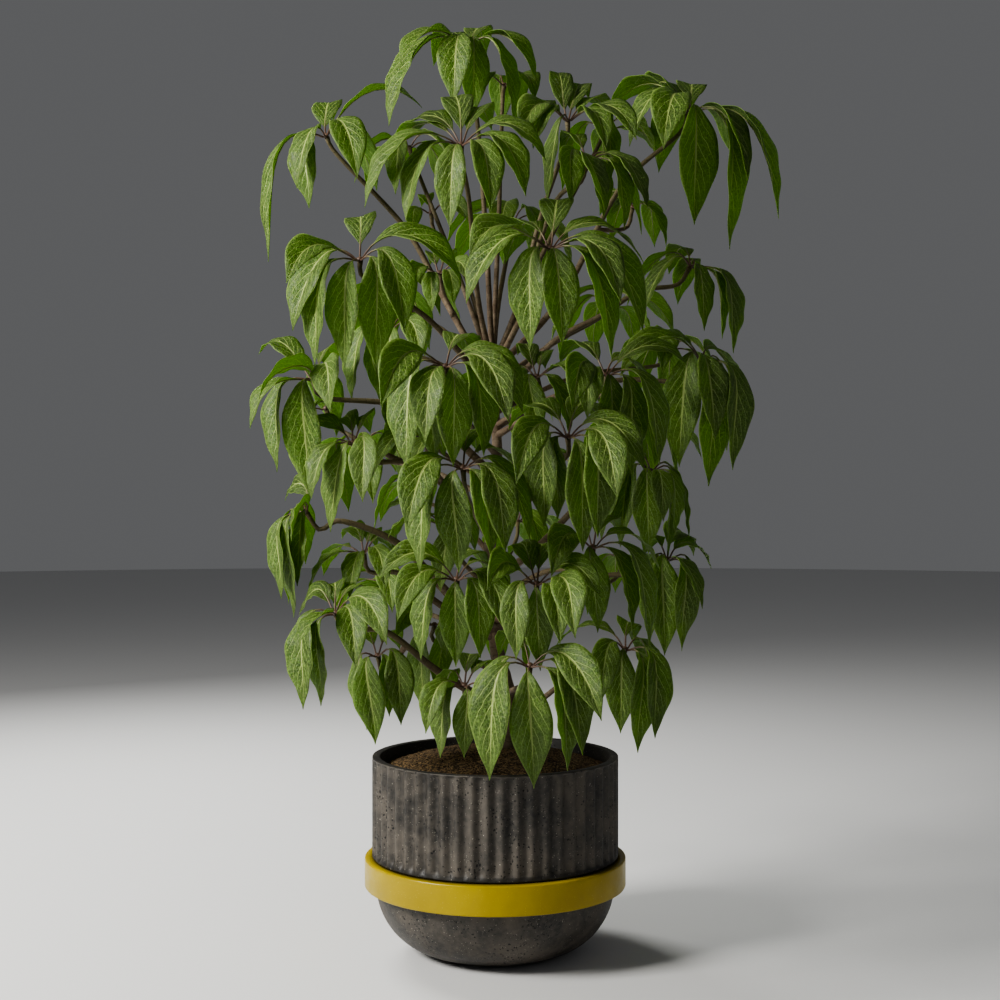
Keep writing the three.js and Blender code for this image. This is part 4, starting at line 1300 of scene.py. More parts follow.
@dataclass
class Planter:
    """The round planter: a smooth bowl under a fluted wall. Sizes are in millimetres.

    Attributes:
        foot_rows: Rows of points above the wall's foot.
        rim_rows: Rows of points below the rim.
        foot_fade: Heights over the wall's foot between which the flutes deepen.
        rim_fade: Depths under the rim between which they end.
        painted_shade_fade: Heights over the wall's foot between which its painted shade ends.
        rim_darkening: How much darker the rim's flat top is, where 1 is the bottom of a flute.
        deep_painted_shade: How much painted shade the foot of the wall gets.
        inner_painted_shade: How much painted shade the inside gets.
        near_wall: How near a point has to lie to count as on the wall.
        near_top: How near it has to lie to count as on the rim's top.
    """

    rim_radius: float = 200.0
    rim_height: float = 313.5
    edge: float = 1.6
    corner: float = 0.5
    inner_corner: float = 0.4
    flutes: int = 54
    flute_depth: float = 5
    flute_foot: float = 151.7
    shoulder: float = 195.0
    shoulder_rise: float = 4.0
    bowl_radius: float = 194.0
    bowl_height: float = 110.0
    foot_radius: float = 90.0
    wall: float = 13.0
    floor: float = 16.0
    inner_rise: float = 10.0
    bowl_steps: int = 26
    wall_steps: int = 8
    steps_per_flute: int = 12
    foot_rows: tuple[float, ...] = (1.5, 3.5, 6.0, 9.0, 12.0, 15.0)
    rim_rows: tuple[float, ...] = (9.0, 6.0, 4.0, 2.6)
    foot_fade: Point2 = (2.0, 15.0)
    rim_fade: Point2 = (4.5, 1.0)
    painted_shade_fade: Point2 = (15.0, 7.0)
    rim_darkening: float = 1.6
    deep_painted_shade: float = 1.7
    inner_painted_shade: float = 2.0
    near_wall: float = 1.0
    near_top: float = 0.2

    def profile(self) -> list[Point2]:
        """The section from the middle of the foot, up outside, over the rim and down inside.

        Returns:
            Its points as radius and height.
        """
        points = [(0.0, 0.0)]
        for i in range(self.bowl_steps + 1):
            a = math.pi / 2 * i / self.bowl_steps
            points.append((self.foot_radius + (self.bowl_radius - self.foot_radius) * math.sin(a),
                           self.bowl_height * (1 - math.cos(a))))
        points += [(self.shoulder, self.bowl_height + self.shoulder_rise),
                   (self.shoulder, self.flute_foot)]
        points += [(self.rim_radius, self.flute_foot + h) for h in self.foot_rows]
        span = self.rim_height - self.flute_foot
        points += [(self.rim_radius, self.flute_foot + span * k / self.wall_steps)
                   for k in range(1, self.wall_steps)]
        points += [(self.rim_radius, self.rim_height - h) for h in (*self.rim_rows, self.edge)]
        inner, base = self.rim_radius - self.wall, self.bowl_height + self.inner_rise
        points += [(self.rim_radius - self.corner, self.rim_height - self.corner),
                   (self.rim_radius - self.edge, self.rim_height),
                   (inner + self.edge, self.rim_height),
                   (inner + self.inner_corner, self.rim_height - self.corner),
                   (inner, self.rim_height - self.edge), (inner, base)]
        steps = self.bowl_steps // 2
        for i in range(steps, -1, -1):
            a = math.pi / 2 * i / steps
            points.append((inner * math.sin(a), self.floor + (base - self.floor) * (1 - math.cos(a))))
        return points

    def flute(self, turn: float, height: float) -> float:
        """How deep the wall lies behind its ridges.

        Args:
            turn: The way from the axis, in radians.
            height: The height on the wall.

        Returns:
            The depth there.
        """
        place = turn * self.flutes / TURN + 0.5
        aside = 2 * abs(place - math.floor(place) - 0.5)
        start, full = (self.flute_foot + h for h in self.foot_fade)
        full_again, end = (self.rim_height - h for h in self.rim_fade)
        fade = smooth_step(start, full, height) * (1 - smooth_step(full_again, end, height))
        return self.flute_depth * (0.5 - 0.5 * math.cos(math.pi * aside)) * fade

    def build(self, finish: Material) -> bpy.types.Object:
        """Makes the planter.

        Args:
            finish: Its concrete.

        Returns:
            The object.
        """
        bm = bmesh.new()
        painted_shade_mask = bm.verts.layers.float.new("painted_shade_mask")
        spun(bm, self.profile(), self.flutes * self.steps_per_flute)
        inside = (self.rim_radius - self.wall + self.near_wall) * MM
        outside = (self.rim_radius - self.near_wall) * MM
        unshaded_from, shaded_below = (self.flute_foot + h for h in self.painted_shade_fade)
        # The mask paints shade inside the planter, in the flutes' grooves and at the wall's foot, and
        # darkens the rim's flat top.
        for v in bm.verts:
            radius = math.hypot(v.co.x, v.co.y)
            if radius < inside and v.co.z > self.bowl_height * MM:
                v[painted_shade_mask] = self.inner_painted_shade
            elif v.co.z > (self.rim_height - self.near_top) * MM:
                v[painted_shade_mask] = self.rim_darkening
            if radius > outside and v.co.z > self.flute_foot * MM:
                depth = self.flute(math.atan2(v.co.y, v.co.x), v.co.z / MM)
                low = smooth_step(unshaded_from, shaded_below, v.co.z / MM)
                v[painted_shade_mask] = max(depth / self.flute_depth, self.deep_painted_shade * low)
                shrink = 1 - depth * MM / radius
                v.co.x *= shrink
                v.co.y *= shrink
        return piece("planter_cast", bm, [finish], "planter")


@dataclass
class Band:
    """The painted hoop round the top of the bowl. Sizes are in millimetres."""

    inner: float = 195.3
    outer: float = 212.0
    bottom: float = 105.0
    top: float = 151.4
    edge: float = 2.6
    edge_segments: int = 4
    steps: int = 256
    near: float = 1.0

    def build(self, finish: Material) -> bpy.types.Object:
        """Makes the hoop with its edges rounded.

        Args:
            finish: Its paint.

        Returns:
            The object.
        """
        bm = bmesh.new()
        corners = [(self.inner, self.bottom), (self.outer, self.bottom), (self.outer, self.top),
                   (self.inner, self.top)]
        spun(bm, corners, self.steps, closed=True)
        far = (self.outer - self.near) * MM
        rims = [e for e in bm.edges if all(v.co.xy.length > far for v in e.verts)
                and abs(e.verts[0].co.z - e.verts[1].co.z) < 1e-6]
        bmesh.ops.bevel(bm, geom=rims, offset=self.edge * MM, offset_type="OFFSET", affect="EDGES",
                        segments=self.edge_segments, profile=0.5, material=-1)
        return piece("band_painted", bm, [finish], "band")


@dataclass
class SoilBed:
    """The dome of soil with loose crumbs on it. Sizes are in millimetres.

    Attributes:
        sunk: How far the dome lies under the solid's, to leave room for lumps and crumbs.
        lump: How fast the lumps' finer levels fade, how much finer each is, and their number.
        lump_scale: How many lumps there are a metre.
        crumb_sizes: The smallest crumb's radius, and how much more the largest has.
        rarity: How much rarer the large crumbs are.
        spin: The most that a crumb is turned, in radians.
        axis_rise: How steep the axis is that it turns about.
        flatness: A crumb's height by its length.
        widths: The narrowest crumb's width by its length, and how much more the widest has.
    """

    radius: float = 186.7
    clearance: float = 0.3
    edge_height: float = 293.0
    crown_height: float = 328.0
    rings: int = 56
    steps: int = 200
    depth: float = 40.0
    sunk: float = 1.5
    lump: tuple[float, float, int] = (0.9, 2.1, 3)
    lump_scale: float = 60.0
    lump_height: float = 0.8
    grit_scale: float = 330.0
    grit_height: float = 0.5
    rim_fade: float = 4.0
    crumbs: int = 1800
    handful: int = 50
    margin: float = 5.0
    crumb_sizes: Point2 = (0.6, 1.5)
    rarity: int = 4
    raised: float = 0.3
    spin: float = 6.0
    axis_rise: float = 0.4
    flatness: float = 0.7
    widths: Point2 = (0.55, 0.4)

    def height(self, r: float) -> float:
        """The dome's height at a distance from the middle."""
        share = r / (self.radius + self.clearance)
        return self.crown_height - (self.crown_height - self.edge_height) * share ** 2

    def build(self, finish: Material) -> bpy.types.Object:
        """Makes the bed.

        Args:
            finish: Its soil.

        Returns:
            The object.
        """
        bm = bmesh.new()
        dome = [(self.radius * k / self.rings, self.height(self.radius * k / self.rings) - self.sunk)
                for k in range(self.rings + 1)]
        low = self.edge_height - self.depth
        spun(bm, dome + [(self.radius, low), (0.0, low)], self.steps)
        for v in bm.verts:
            if v.co.z < (self.edge_height - 2 * self.sunk) * MM:
                continue
            rise = noise.fractal(v.co * self.lump_scale, *self.lump) * self.lump_height
            rise += noise.noise(v.co * self.grit_scale) * self.grit_height
            fade = 1 - smooth_step(self.radius - self.rim_fade, self.radius, v.co.xy.length / MM)
            v.co.z += rise * MM * fade
        self.scatter(bm)
        return piece("soil_bed", bm, [finish], "soil")

    def crumb(self, k: int) -> Matrix:
        """A crumb's place and shape, from a ball of radius 1 m.

        Args:
            k: Its number.

        Returns:
            The move, turn and stretch.
        """
        r = (self.radius - self.margin) * math.sqrt(draw(3 * k + 11))
        turn = TURN * draw(3 * k + 12)
        size = self.crumb_sizes[0] + self.crumb_sizes[1] * draw(3 * k + 13) ** self.rarity
        height = self.height(r) - self.sunk + self.raised * size
        place = Vector((r * math.cos(turn), r * math.sin(turn), height))
        axis = Vector((draw(k + 7001), draw(k + 8001), self.axis_rise))
        width = self.widths[0] + self.widths[1] * draw(k + 9001)
        stretch = (size * MM, size * MM * width, size * MM * self.flatness, 1)
        spin = Matrix.Rotation(self.spin * draw(k + 5001), 4, axis)
        return Matrix.Translation(place * MM) @ spin @ Matrix.Diagonal(stretch)

    def scatter(self, bm: Mesh) -> None:
        """Strews loose crumbs over the dome, a handful at a time, which is quicker.

        Args:
            bm: The mesh that gets them.
        """
        handful = bmesh.new()
        for k in range(self.crumbs):
            bmesh.ops.create_icosphere(handful, subdivisions=1, radius=1, matrix=self.crumb(k))
            if (k + 1) % self.handful == 0 or k + 1 == self.crumbs:
                strewn = bpy.data.meshes.new("crumbs")
                handful.to_mesh(strewn)
                handful.clear()
                bm.from_mesh(strewn)
                bpy.data.meshes.remove(strewn)
        handful.free()


@dataclass
class Woodwork:
    """The trunk and every leaf head's stalk. Sizes are in millimetres.

    Attributes:
        run_in: How far under its hub a stalk meets the head's axis.
        gap: The room between a stalk's end and its hub.
        taper: How much of the trunk's radius is gone at its top.
        bark_depth: How far the bark lies inside the solid between swellings.
        knuckle: The height between two old leaf scars.
        scar_width: How wide their swelling is, as a share of that.
        root_swell: How much of its own radius a stalk gains where it leaves its parent.
        hub_swell: How much radius it gains under its hub.
        trunk_wobble: How uneven the trunk's radius is, and how often it changes.
        stalk_wobble: The same for a stalk.
        age: How old a stalk's bark is at its start, where 1 is the trunk's.
        young_after: The least length over which a stalk turns young.
    """

    trunk_place: Point2 = (17.0, 0.0)
    trunk_foot: float = 290.0
    trunk_radius: float = 14.0
    trunk_sides: int = 16
    stalk_sides: int = 10
    step: float = 11.0
    end_radius: float = 3.2
    run_in: float = 38.0
    hub_height: float = 6.0
    gap: float = 0.3
    taper: float = 0.45
    bark_depth: float = 0.8
    knuckle: float = 34.0
    scar_width: float = 0.25
    scar_swell: float = 0.9
    flare: float = 3.0
    flare_height: float = 325.0
    flare_fall: float = 14.0
    root_swell: float = 0.45
    root_fall: float = 16.0
    hub_swell: float = 1.1
    hub_fall: float = 7.0
    trunk_wobble: Point2 = (0.5, 0.05)
    stalk_wobble: Point2 = (0.22, 0.08)
    age: float = 0.9
    young_after: float = 150.0

    def courses(self) -> dict[str, Spline]:
        """The stems' curves: the trunk's, and each stalk's from its parent to its hub.

        Returns:
            The curves by name.
        """
        found = {"trunk": Spline([Vector(p) for p in TRUNK_COURSE])}
        for head in HEADS:
            axis, hub = head.axis(), Vector(head.hub)
            start = found[head.stalk.parent].point(head.stalk.at)
            passed = [Vector(p) for p in head.stalk.by]
            end = [hub - axis * self.run_in, hub - axis * (self.hub_height / 2 + self.gap)]
            found[head.name] = Spline([start, *passed, *end])
        return found

    def trunk_radii(self, centres: list[Vector]) -> list[float]:
        """The trunk's radius at each place: tapered, with a swelling at every old leaf scar.

        Args:
            centres: The places.

        Returns:
            The radii.
        """
        radii, count = [], len(centres) - 1
        uneven, often = self.trunk_wobble
        for i, centre in enumerate(centres):
            radius = self.trunk_radius * (1 - self.taper * i / count)
            scar = abs(math.sin(math.pi * centre.z / self.knuckle))
            swell = self.scar_swell * math.exp(-((scar / self.scar_width) ** 2))
            flare = self.flare * math.exp(-max(centre.z - self.flare_height, 0) / self.flare_fall)
            radii.append(radius - self.bark_depth + swell + flare + uneven * noise.noise(centre * often))
        return radii

    def stalk_radii(self, centres: list[Vector], base: float) -> list[float]:
        """A stalk's radius at each place, swollen where it leaves its parent and under its hub.

        Args:
            centres: The places.
            base: Its radius where it leaves its parent.

        Returns:
            The radii.
        """
        radii, count = [], len(centres) - 1
        length = count * (centres[1] - centres[0]).length
        uneven, often = self.stalk_wobble
        for i, centre in enumerate(centres):
            gone = length * i / count
            radius = base + (self.end_radius - base) * i / count
            radius += (self.root_swell * base * math.exp(-gone / self.root_fall)
                       + self.hub_swell * math.exp(-(length - gone) / self.hub_fall))
            radii.append(radius + uneven * noise.noise(centre * often))
        return radii

    def build(self, finish: Material) -> bpy.types.Object:
        """Makes the trunk and the stalks.

        Args:
            finish: Their bark.

        Returns:
            The object.
        """
        bm = bmesh.new()
        along = bm.verts.layers.float.new("along")
        age = bm.verts.layers.float.new("age")
        courses = self.courses()
        trunk = courses["trunk"].even(self.step)
        foot = Vector((*self.trunk_place, self.trunk_foot))
        centres = [foot, foot.lerp(trunk[0], 0.5)] + trunk
        tube(bm, centres, self.trunk_radii(centres), self.trunk_sides, along)
        for v in bm.verts:
            v[age] = 1.0
        for head in HEADS:
            centres = courses[head.name].even(self.step)
            faces = tube(bm, centres, self.stalk_radii(centres, head.stalk.radius), self.stalk_sides, along)
            whole = max(distances(centres)[-1], self.young_after)
            for v in {v for face in faces for v in face.verts}:
                v[age] = clamp(self.age - v[along] / whole, 0, 1)
        return piece("stems_barked", bm, [finish], "stems")


@dataclass(frozen=True)
class Root:
    """Where a leaflet leaves its hub: its tip as first meant, and its turn about the axis."""

    tip: Vector
    turn: float


@dataclass
class Foliage:
    """Every leaf head: a hub with arching leaflets. Sizes are in millimetres.

    The fields down to same_place follow the solids' own rule, so that every leaflet lies where
    its solid does. A pair that varies holds the least and how much more the most has.

    Attributes:
        even_share: How far the leaflets are drawn towards even spacing round the hub.
        most_evening: The most that one of them is turned for it, in radians.
        out_share: How far a leaflet leans out where it starts.
        lift: How steeply the highest leaflet rises from the hub.
        lift_low: The share of that for the lowest.
        hang: How steeply a level leaflet's tip hangs, in degrees.
        hang_slope: How much steeper it hangs for a lower tip.
        handle: The length of the curve's handle at the hub, by the leaflet's reach.
        handle_end: The same at the tip.
        blade_start: The share of the length that is bare stalklet.
        smallest_blade: The least length that a blade's width follows, by the head's size.
        blade_fold: How far a blade folds up along its midrib, by half its width.
        shape_lean: Below 1, a blade is widest before its middle.
        face_up: How much a blade looks up rather than along the head's axis.
        reach: A tip's distance from the hub, by the head's size.
        shorter: How much a leaflet may have been shortened to keep clear of its neighbours.
        farther: How far it may have been moved away.
        sideways: How far it may have been moved aside.
        same_place: How near the solid's tip has to be to count as this leaflet's.
        twist: The range over which blades twist, in degrees.
        wave_shift: How far the waves of a blade's two edges are shifted.
        back_range: Where a leaflet counts as going back, by its tip's way back.
        back_flat: How much of its fold such a leaflet loses.
        back_painted_shade: How far below the darkest a leaflet that goes back is drawn, as painted shade.
        cup: How steeply a blade rises from its midrib, and how it rounds off to its edge.
        tip_width: Half the least width of a blade at its start, and how much of it the tip loses.
        tones: What a leaflet's tone_and_painted_shade is made of before any painted shade: its own, its
            head's, and the least.
        soft_margin: How far inside the frame's box a leaflet starts to be drawn in.
    """

    hub_radius: float = 6.0
    even_share: float = 0.7
    most_evening: float = 0.9
    out_share: float = 0.2
    lift: float = 2.1
    lift_low: float = 0.2
    hang: float = 56
    hang_slope: float = 32
    hang_range: Point2 = (-20, 85)
    handle: float = 0.47
    handle_end: float = 0.47
    blade_start: float = 0.13
    blade_width: float = 0.34
    smallest_blade: float = 0.8
    blade_fold: float = 0.4
    shape_lean: float = 0.92
    shape_fullness: float = 1.2
    shape_taper: float = 0.15
    face_up: float = 1.5
    reach: float = 0.76
    shallowest: float = 0.16
    along_stalk: float = 0.93
    deepest_back: float = 0.6
    back_drop: float = 0.12
    side_share: float = 0.35
    ring_uneven: float = 0.35
    ring_drop: Point2 = (0.3, 0.65)
    shorter: tuple[float, ...] = (1, 0.88, 0.76)
    farther: tuple[float, ...] = (0, 18, -18, 36, -36, 60)
    sideways: tuple[float, ...] = (0, 12, -12)
    same_place: float = 0.3
    face_steps: int = 24
    along_steps: int = 28
    across_steps: int = 10
    thickness: float = 0.6
    uneven_width: Point2 = (0.94, 0.12)
    twist: float = 16.0
    wave: float = 1.5
    waves: Point2 = (2.5, 2.0)
    wave_shift: float = 1.3
    wave_fades: Point2 = (0.2, 0.8)
    folds: Point2 = (0.7, 0.6)
    back_range: Point2 = (-0.1, 0.3)
    back_flat: float = 0.6
    back_painted_shade: float = 0.7
    cup: Point2 = (1.5, 0.75)
    tip_width: Point2 = (0.5, 0.2)
    tones: Point3 = (0.55, 0.35, 0.05)
    stalklet_radius: float = 1.35
    stalklet_sides: int = 6
    stalklet_root: float = 1.2
    root_depth: float = 0.3
    rib_depth: float = 0.55
    rib_start: Point2 = (-0.04, 0.08)
    rib_taper: float = 0.8
    rib_taper_range: Point2 = (0.1, 0.95)
    rib_shares: tuple[float, ...] = (
        0.0, 0.05, 0.1, 0.15, 0.2, 0.26, 0.34, 0.44, 0.55, 0.67, 0.79, 0.9)
    knob_sunk: float = 0.4
    knob_width: float = 0.8
    knob_height: float = 0.55
    soft_margin: float = 25.0

    def tips(self, head: LeafHead, number: int) -> list[Vector]:
        """Where a head's leaflet tips are, from its own lists or evenly round its hub.

        Args:
            head: The head.
            number: Its place in the list.

        Returns:
            The tips, from the hub.
        """
        size, reach = head.size, self.reach * head.size

        def deep(x: float, z: float) -> float:
            """How far a tip is in front of the hub or behind it."""
            return math.sqrt(max(reach**2 - x * x - z * z, (self.shallowest * size) ** 2))

        found = [Vector((x, -deep(x, z), z)) for x, z in head.front]
        found += [Vector((x, -deep(x, z) * self.side_share, z)) for x, z in head.side]
        drop = self.back_drop * size
        for x, z in head.back:
            low = z - drop * clamp(z / drop, 0, 1)
            found.append(Vector((x, min(deep(x, low), self.deepest_back * size), low)))
        for i in range(head.ring):
            seed = number * 100 + i * 7
            turn = TURN * (i + self.ring_uneven * draw(seed)) / head.ring + number
            drop = self.ring_drop[0] + (self.ring_drop[1] - self.ring_drop[0]) * draw(seed + 1)
            out = math.sqrt(reach**2 - (drop * size) ** 2)
            found.append(Vector((out * math.sin(turn), -out * math.cos(turn), -drop * size)))
        axis = head.axis()
        return [tip for tip in found if tip.dot(axis) > -self.along_stalk * tip.length]

    def radial(self, axis: Vector, turn: float) -> Vector:
        """The direction square to a head's axis at a turn about it."""
        level = UP.cross(axis).normalized()
        return level * math.cos(turn) + axis.cross(level) * math.sin(turn)

    def roots(self, axis: Vector, tips: list[Vector]) -> list[Root]:
        """Where the leaflets leave the hub, drawn towards even spacing.

        Args:
            axis: The way the head faces.
            tips: The leaflets' tips, from the hub.

        Returns:
            The roots in order round the hub.
        """
        level = UP.cross(axis).normalized()
        rise = axis.cross(level)
        found = [Root(tip, math.atan2(tip.dot(rise), tip.dot(level))) for tip in tips]
        found.sort(key=lambda root: root.turn)
        step = TURN / len(found)
        phase = sum(root.turn - i * step for i, root in enumerate(found)) / len(found)
        evened = []
        for i, root in enumerate(found):
            more = self.even_share * (phase + i * step - root.turn)
            evened.append(Root(root.tip, root.turn + clamp(more, -self.most_evening, self.most_evening)))
        return evened

    def course(self, hub: Vector, axis: Vector, turn: float, tip: Vector, size: float) -> Bezier:
        """A leaflet's curve from the hub's side to its tip: it rises, arches over and hangs.

        Args:
            hub: Where the leaflets meet.
            axis: The way the head faces.
            turn: Where on the hub it leaves, in radians.
            tip: Where it ends.
            size: The head's size.

        Returns:
            The curve.
        """
        side = self.radial(axis, turn)
        root = hub + side * self.hub_radius
        span = tip - hub
        out = Vector((span.x, span.y, 0)).normalized()
        hang = math.radians(clamp(self.hang - self.hang_slope * span.z / span.length, *self.hang_range))
        handle = max(span.length, self.reach * size)
        lift = self.lift * (self.lift_low + (1 - self.lift_low) * (1 + side.z) / 2)
        first = side + out * self.out_share + UP * lift
        last = out * math.cos(hang) - UP * math.sin(hang)
        points = (root, root + first.normalized() * (handle * self.handle),
                  tip - last * (handle * self.handle_end), tip)
        return Bezier(points)

    def bent(self, tree: kdtree.KDTree, hub: Vector, tip: Vector) -> Vector | None:
        """The tip as the solid has it, after the bends that keep it clear of its neighbours.

        Args:
            tree: The solid's points, in millimetres.
            hub: Where the leaflets meet.
            tip: The tip as first meant, from the hub.

        Returns:
            The tip's place, or None if the solid has no such leaflet.
        """
        for shorter in self.shorter:
            for away in self.farther:
                for across in self.sideways:
                    place = tip * shorter + Vector((across, math.copysign(away, away * tip.y), 0)) + hub
                    if tree.find(place)[2] < self.same_place:
                        return place
        return None

    def back(self, away: float) -> float:
        """How much a leaflet goes back, from 0 to 1, by its tip's way back as a share of its length."""
        return smooth_step(*self.back_range, away)

    def rows(self, curve: Bezier, faces: list[Vector], size: float,
             seed: int) -> list[tuple[Vector, Vector, Vector, float]]:
        """A blade's cross-sections at even steps of its length.

        Args:
            curve: The leaflet's curve.
            faces: The way the leaflet's face looks at even shares of its length.
            size: The head's size.
            seed: A number of its own.

        Returns:
            Each section's middle, its way across, its way up and half its width.
        """
        widest = 0.5 * self.blade_width * max(curve.length, self.smallest_blade * size)
        widest *= self.uneven_width[0] + self.uneven_width[1] * draw(seed + 4)
        twist = math.radians(self.twist) * (draw(seed) - 0.5)
        found = []
        for k in range(self.along_steps + 1):
            t = k / self.along_steps
            share = self.blade_start + (1 - self.blade_start) * t
            centre, along = curve.place(share)
            normal = Matrix.Rotation(twist * t, 3, along) @ self.face(faces, share, along)
            shape = max(math.sin(math.pi * t**self.shape_lean), 0) ** self.shape_fullness
            shape *= 1 - self.shape_taper * t
            least = self.tip_width[0] - self.tip_width[1] * t
            found.append((centre, along.cross(normal), normal, max(shape * widest, least)))
        return found

    def blade(self, bm: Mesh, curve: Bezier, faces: list[Vector], size: float, seed: int) -> Faces:
        """Adds a leaflet's blade: a folded, gently waved sheet with a long point.

        Args:
            bm: The mesh that gets it.
            curve: The leaflet's curve.
            faces: The way the leaflet's face looks at even shares of its length.
            size: The head's size.
            seed: A number of its own, for its small differences.

        Returns:
            The blade's faces.
        """
        known = set(bm.faces)
        made = bmesh.ops.create_grid(bm, x_segments=self.across_steps, y_segments=self.along_steps,
                                     size=1, calc_uvs=True)
        phase, waves = TURN * draw(seed + 1), self.waves[0] + self.waves[1] * draw(seed + 2)
        fold = self.blade_fold * (self.folds[0] + self.folds[1] * draw(seed + 3))
        away = (curve.point(1) - curve.point(0)).y / curve.length
        fold *= 1 - self.back_flat * self.back(away)
        rows = self.rows(curve, faces, size, seed)
        start, end = self.wave_fades
        for v in made["verts"]:
            w, t = v.co.x, (v.co.y + 1) / 2
            centre, across, normal, half = rows[round(t * self.along_steps)]
            shift = self.wave_shift if w > 0 else 0
            ripple = self.wave * math.sin(phase + TURN * waves * t + shift)
            ripple *= w * w * smooth_step(0, start, t) * (1 - smooth_step(end, 1, t))
            raised = half * fold * (self.cup[0] * abs(w) - self.cup[1] * w * w) + ripple
            v.co = (centre + across * (half * w) + normal * raised) * MM
        sheet = [f for f in bm.faces if f not in known]
        for face in sheet:
            face.normal_update()
        bmesh.ops.solidify(bm, geom=sheet, thickness=self.thickness * MM)
        sheet = [f for f in bm.faces if f not in known]
        bmesh.ops.recalc_face_normals(bm, faces=sheet)
        uv = bm.loops.layers.uv.active
        for face in sheet:
            face.normal_update()
            share = sum(loop[uv].uv.y for loop in face.loops) / len(face.loops)
            upper = face.normal.dot(rows[round(clamp(share, 0, 1) * self.along_steps)][2]) > 0
            face.material_index = (LeafSlot.UPPER if upper else LeafSlot.UNDER).value
        return sheet

    def faces(self, curve: Bezier, axis: Vector) -> list[Vector]:
        """The way a leaflet's face looks at even shares of its length.

        It looks between the head's way and up at the hub, and from there it turns only with
        the curve.

        Args:
            curve: The leaflet's curve.
            axis: The way the head faces.

        Returns:
            The directions.
        """
        found, face = [], axis + UP * self.face_up
        for i in range(self.face_steps + 1):
            along = curve.place(i / self.face_steps)[1]
            face = (face - along * face.dot(along)).normalized()
            found.append(face)
        return found

    def face(self, faces: list[Vector], share: float, along: Vector) -> Vector:
        """The way the face looks at any share of the length, square to the curve there.

        Args:
            faces: The way it looks at even shares of the length.
            share: The share.
            along: The curve's direction there.

        Returns:
            The direction.
        """
        place = clamp(share, 0, 1) * self.face_steps
        i = min(int(place), self.face_steps - 1)
        looks = faces[i].lerp(faces[i + 1], place - i)
        return (looks - along * looks.dot(along)).normalized()

    def ribs(self, bm: Mesh, hub: Vector, curve: Bezier, faces: list[Vector], along: Layer) -> None:
        """Adds a leaflet's slim stalk, which runs on under the blade as its midrib.

        Args:
            bm: The mesh that gets it.
            hub: Where the leaflets meet.
            curve: The leaflet's curve.
            faces: The way the leaflet's face looks at even shares of its length.
            along: The layer that gets the distance from the hub.
        """
        centres = [hub.lerp(curve.point(0), self.root_depth)]
        radii = [self.stalklet_radius * self.stalklet_root]
        start, end = (self.blade_start + h for h in self.rib_start)
        for share in self.rib_shares:
            centre, way = curve.place(share)
            normal = self.face(faces, share, way)
            centres.append(centre - normal * (self.rib_depth * smooth_step(start, end, share)))
            gone = self.rib_taper * smooth_step(*self.rib_taper_range, share)
            radii.append(self.stalklet_radius * (1 - gone))
        for face in tube(bm, centres, radii, self.stalklet_sides, along):
            face.material_index = LeafSlot.STALK.value

    def knob(self, bm: Mesh, hub: Vector, axis: Vector) -> None:
        """Adds the small knob in which a head's leaflets meet.

        Args:
            bm: The mesh that gets it.
            hub: Where the leaflets meet.
            axis: The way the head faces.
        """
        width, height = (self.hub_radius * share for share in (self.knob_width, self.knob_height))
        turned = UP.rotation_difference(axis).to_matrix().to_4x4()
        place = Matrix.Translation((hub - axis * self.knob_sunk) * MM) @ turned
        place @= Matrix.Diagonal((width, width, height, 1))
        knot = bmesh.ops.create_icosphere(bm, subdivisions=2, radius=MM, matrix=place)
        for face in {f for v in knot["verts"] for f in v.link_faces}:
            face.material_index = LeafSlot.STALK.value

    def head(self, head: LeafHead, number: int, finishes: list[Material]) -> bpy.types.Object:
        """Makes one head.

        Args:
            head: The head.
            number: Its place in the list.
            finishes: Its materials in the order of LeafSlot.

        Returns:
            The object.
        """
        solid = frame["nodes"][head.node].data
        tree = kdtree.KDTree(len(solid.vertices))
        for v in solid.vertices:
            tree.insert(v.co / MM, v.index)
        tree.balance()
        bm = bmesh.new()
        bm.loops.layers.uv.new("LeafMap")
        along = bm.verts.layers.float.new("along")
        tone_and_painted_shade = bm.verts.layers.float.new("tone_and_painted_shade")
        axis, hub = head.axis(), Vector(head.hub)
        own, shared, least = self.tones
        young = draw(number * 31 + 3)
        for i, root in enumerate(self.roots(axis, self.tips(head, number))):
            tip = self.bent(tree, hub, root.tip)
            if tip is None:
                LOG.warning("%s has no leaflet %d", head.node, i)
                continue
            seed = number * 1000 + i * 17
            curve = self.course(hub, axis, root.turn, tip, head.size)
            looks = self.faces(curve, axis)
            faces = self.blade(bm, curve, looks, head.size, seed)
            shade = clamp(own * draw(seed + 5) + shared * young + least, 0, 1)
            # Painted shade: a leaflet that goes back is drawn darker than the darkest random lightness.
            shade -= (shade + self.back_painted_shade) * self.back((tip.y - hub.y) / curve.length)
            for v in {v for face in faces for v in face.verts}:
                v[tone_and_painted_shade] = shade
            self.ribs(bm, hub, curve, looks, along)
        self.knob(bm, hub, axis)
        self.draw_in(bm)
        return piece(head.node + "_leaves", bm, finishes, head.node)

    def draw_in(self, bm: Mesh) -> None:
        """Draws in what stands past the frame's box, over a soft margin inside it.

        Args:
            bm: The head's mesh, in metres.
        """
        margin = self.soft_margin * MM
        for axis in range(3):
            for side, limit in ((-1, CAD_BOX[0][axis]), (1, CAD_BOX[1][axis])):
                edge = side * limit - margin
                over = max(side * v.co[axis] for v in bm.verts) - side * limit
                if over <= 0:
                    continue
                for v in bm.verts:
                    past = side * v.co[axis] - edge
                    if past > 0:
                        v.co[axis] = side * (edge + past * margin / (margin + over))


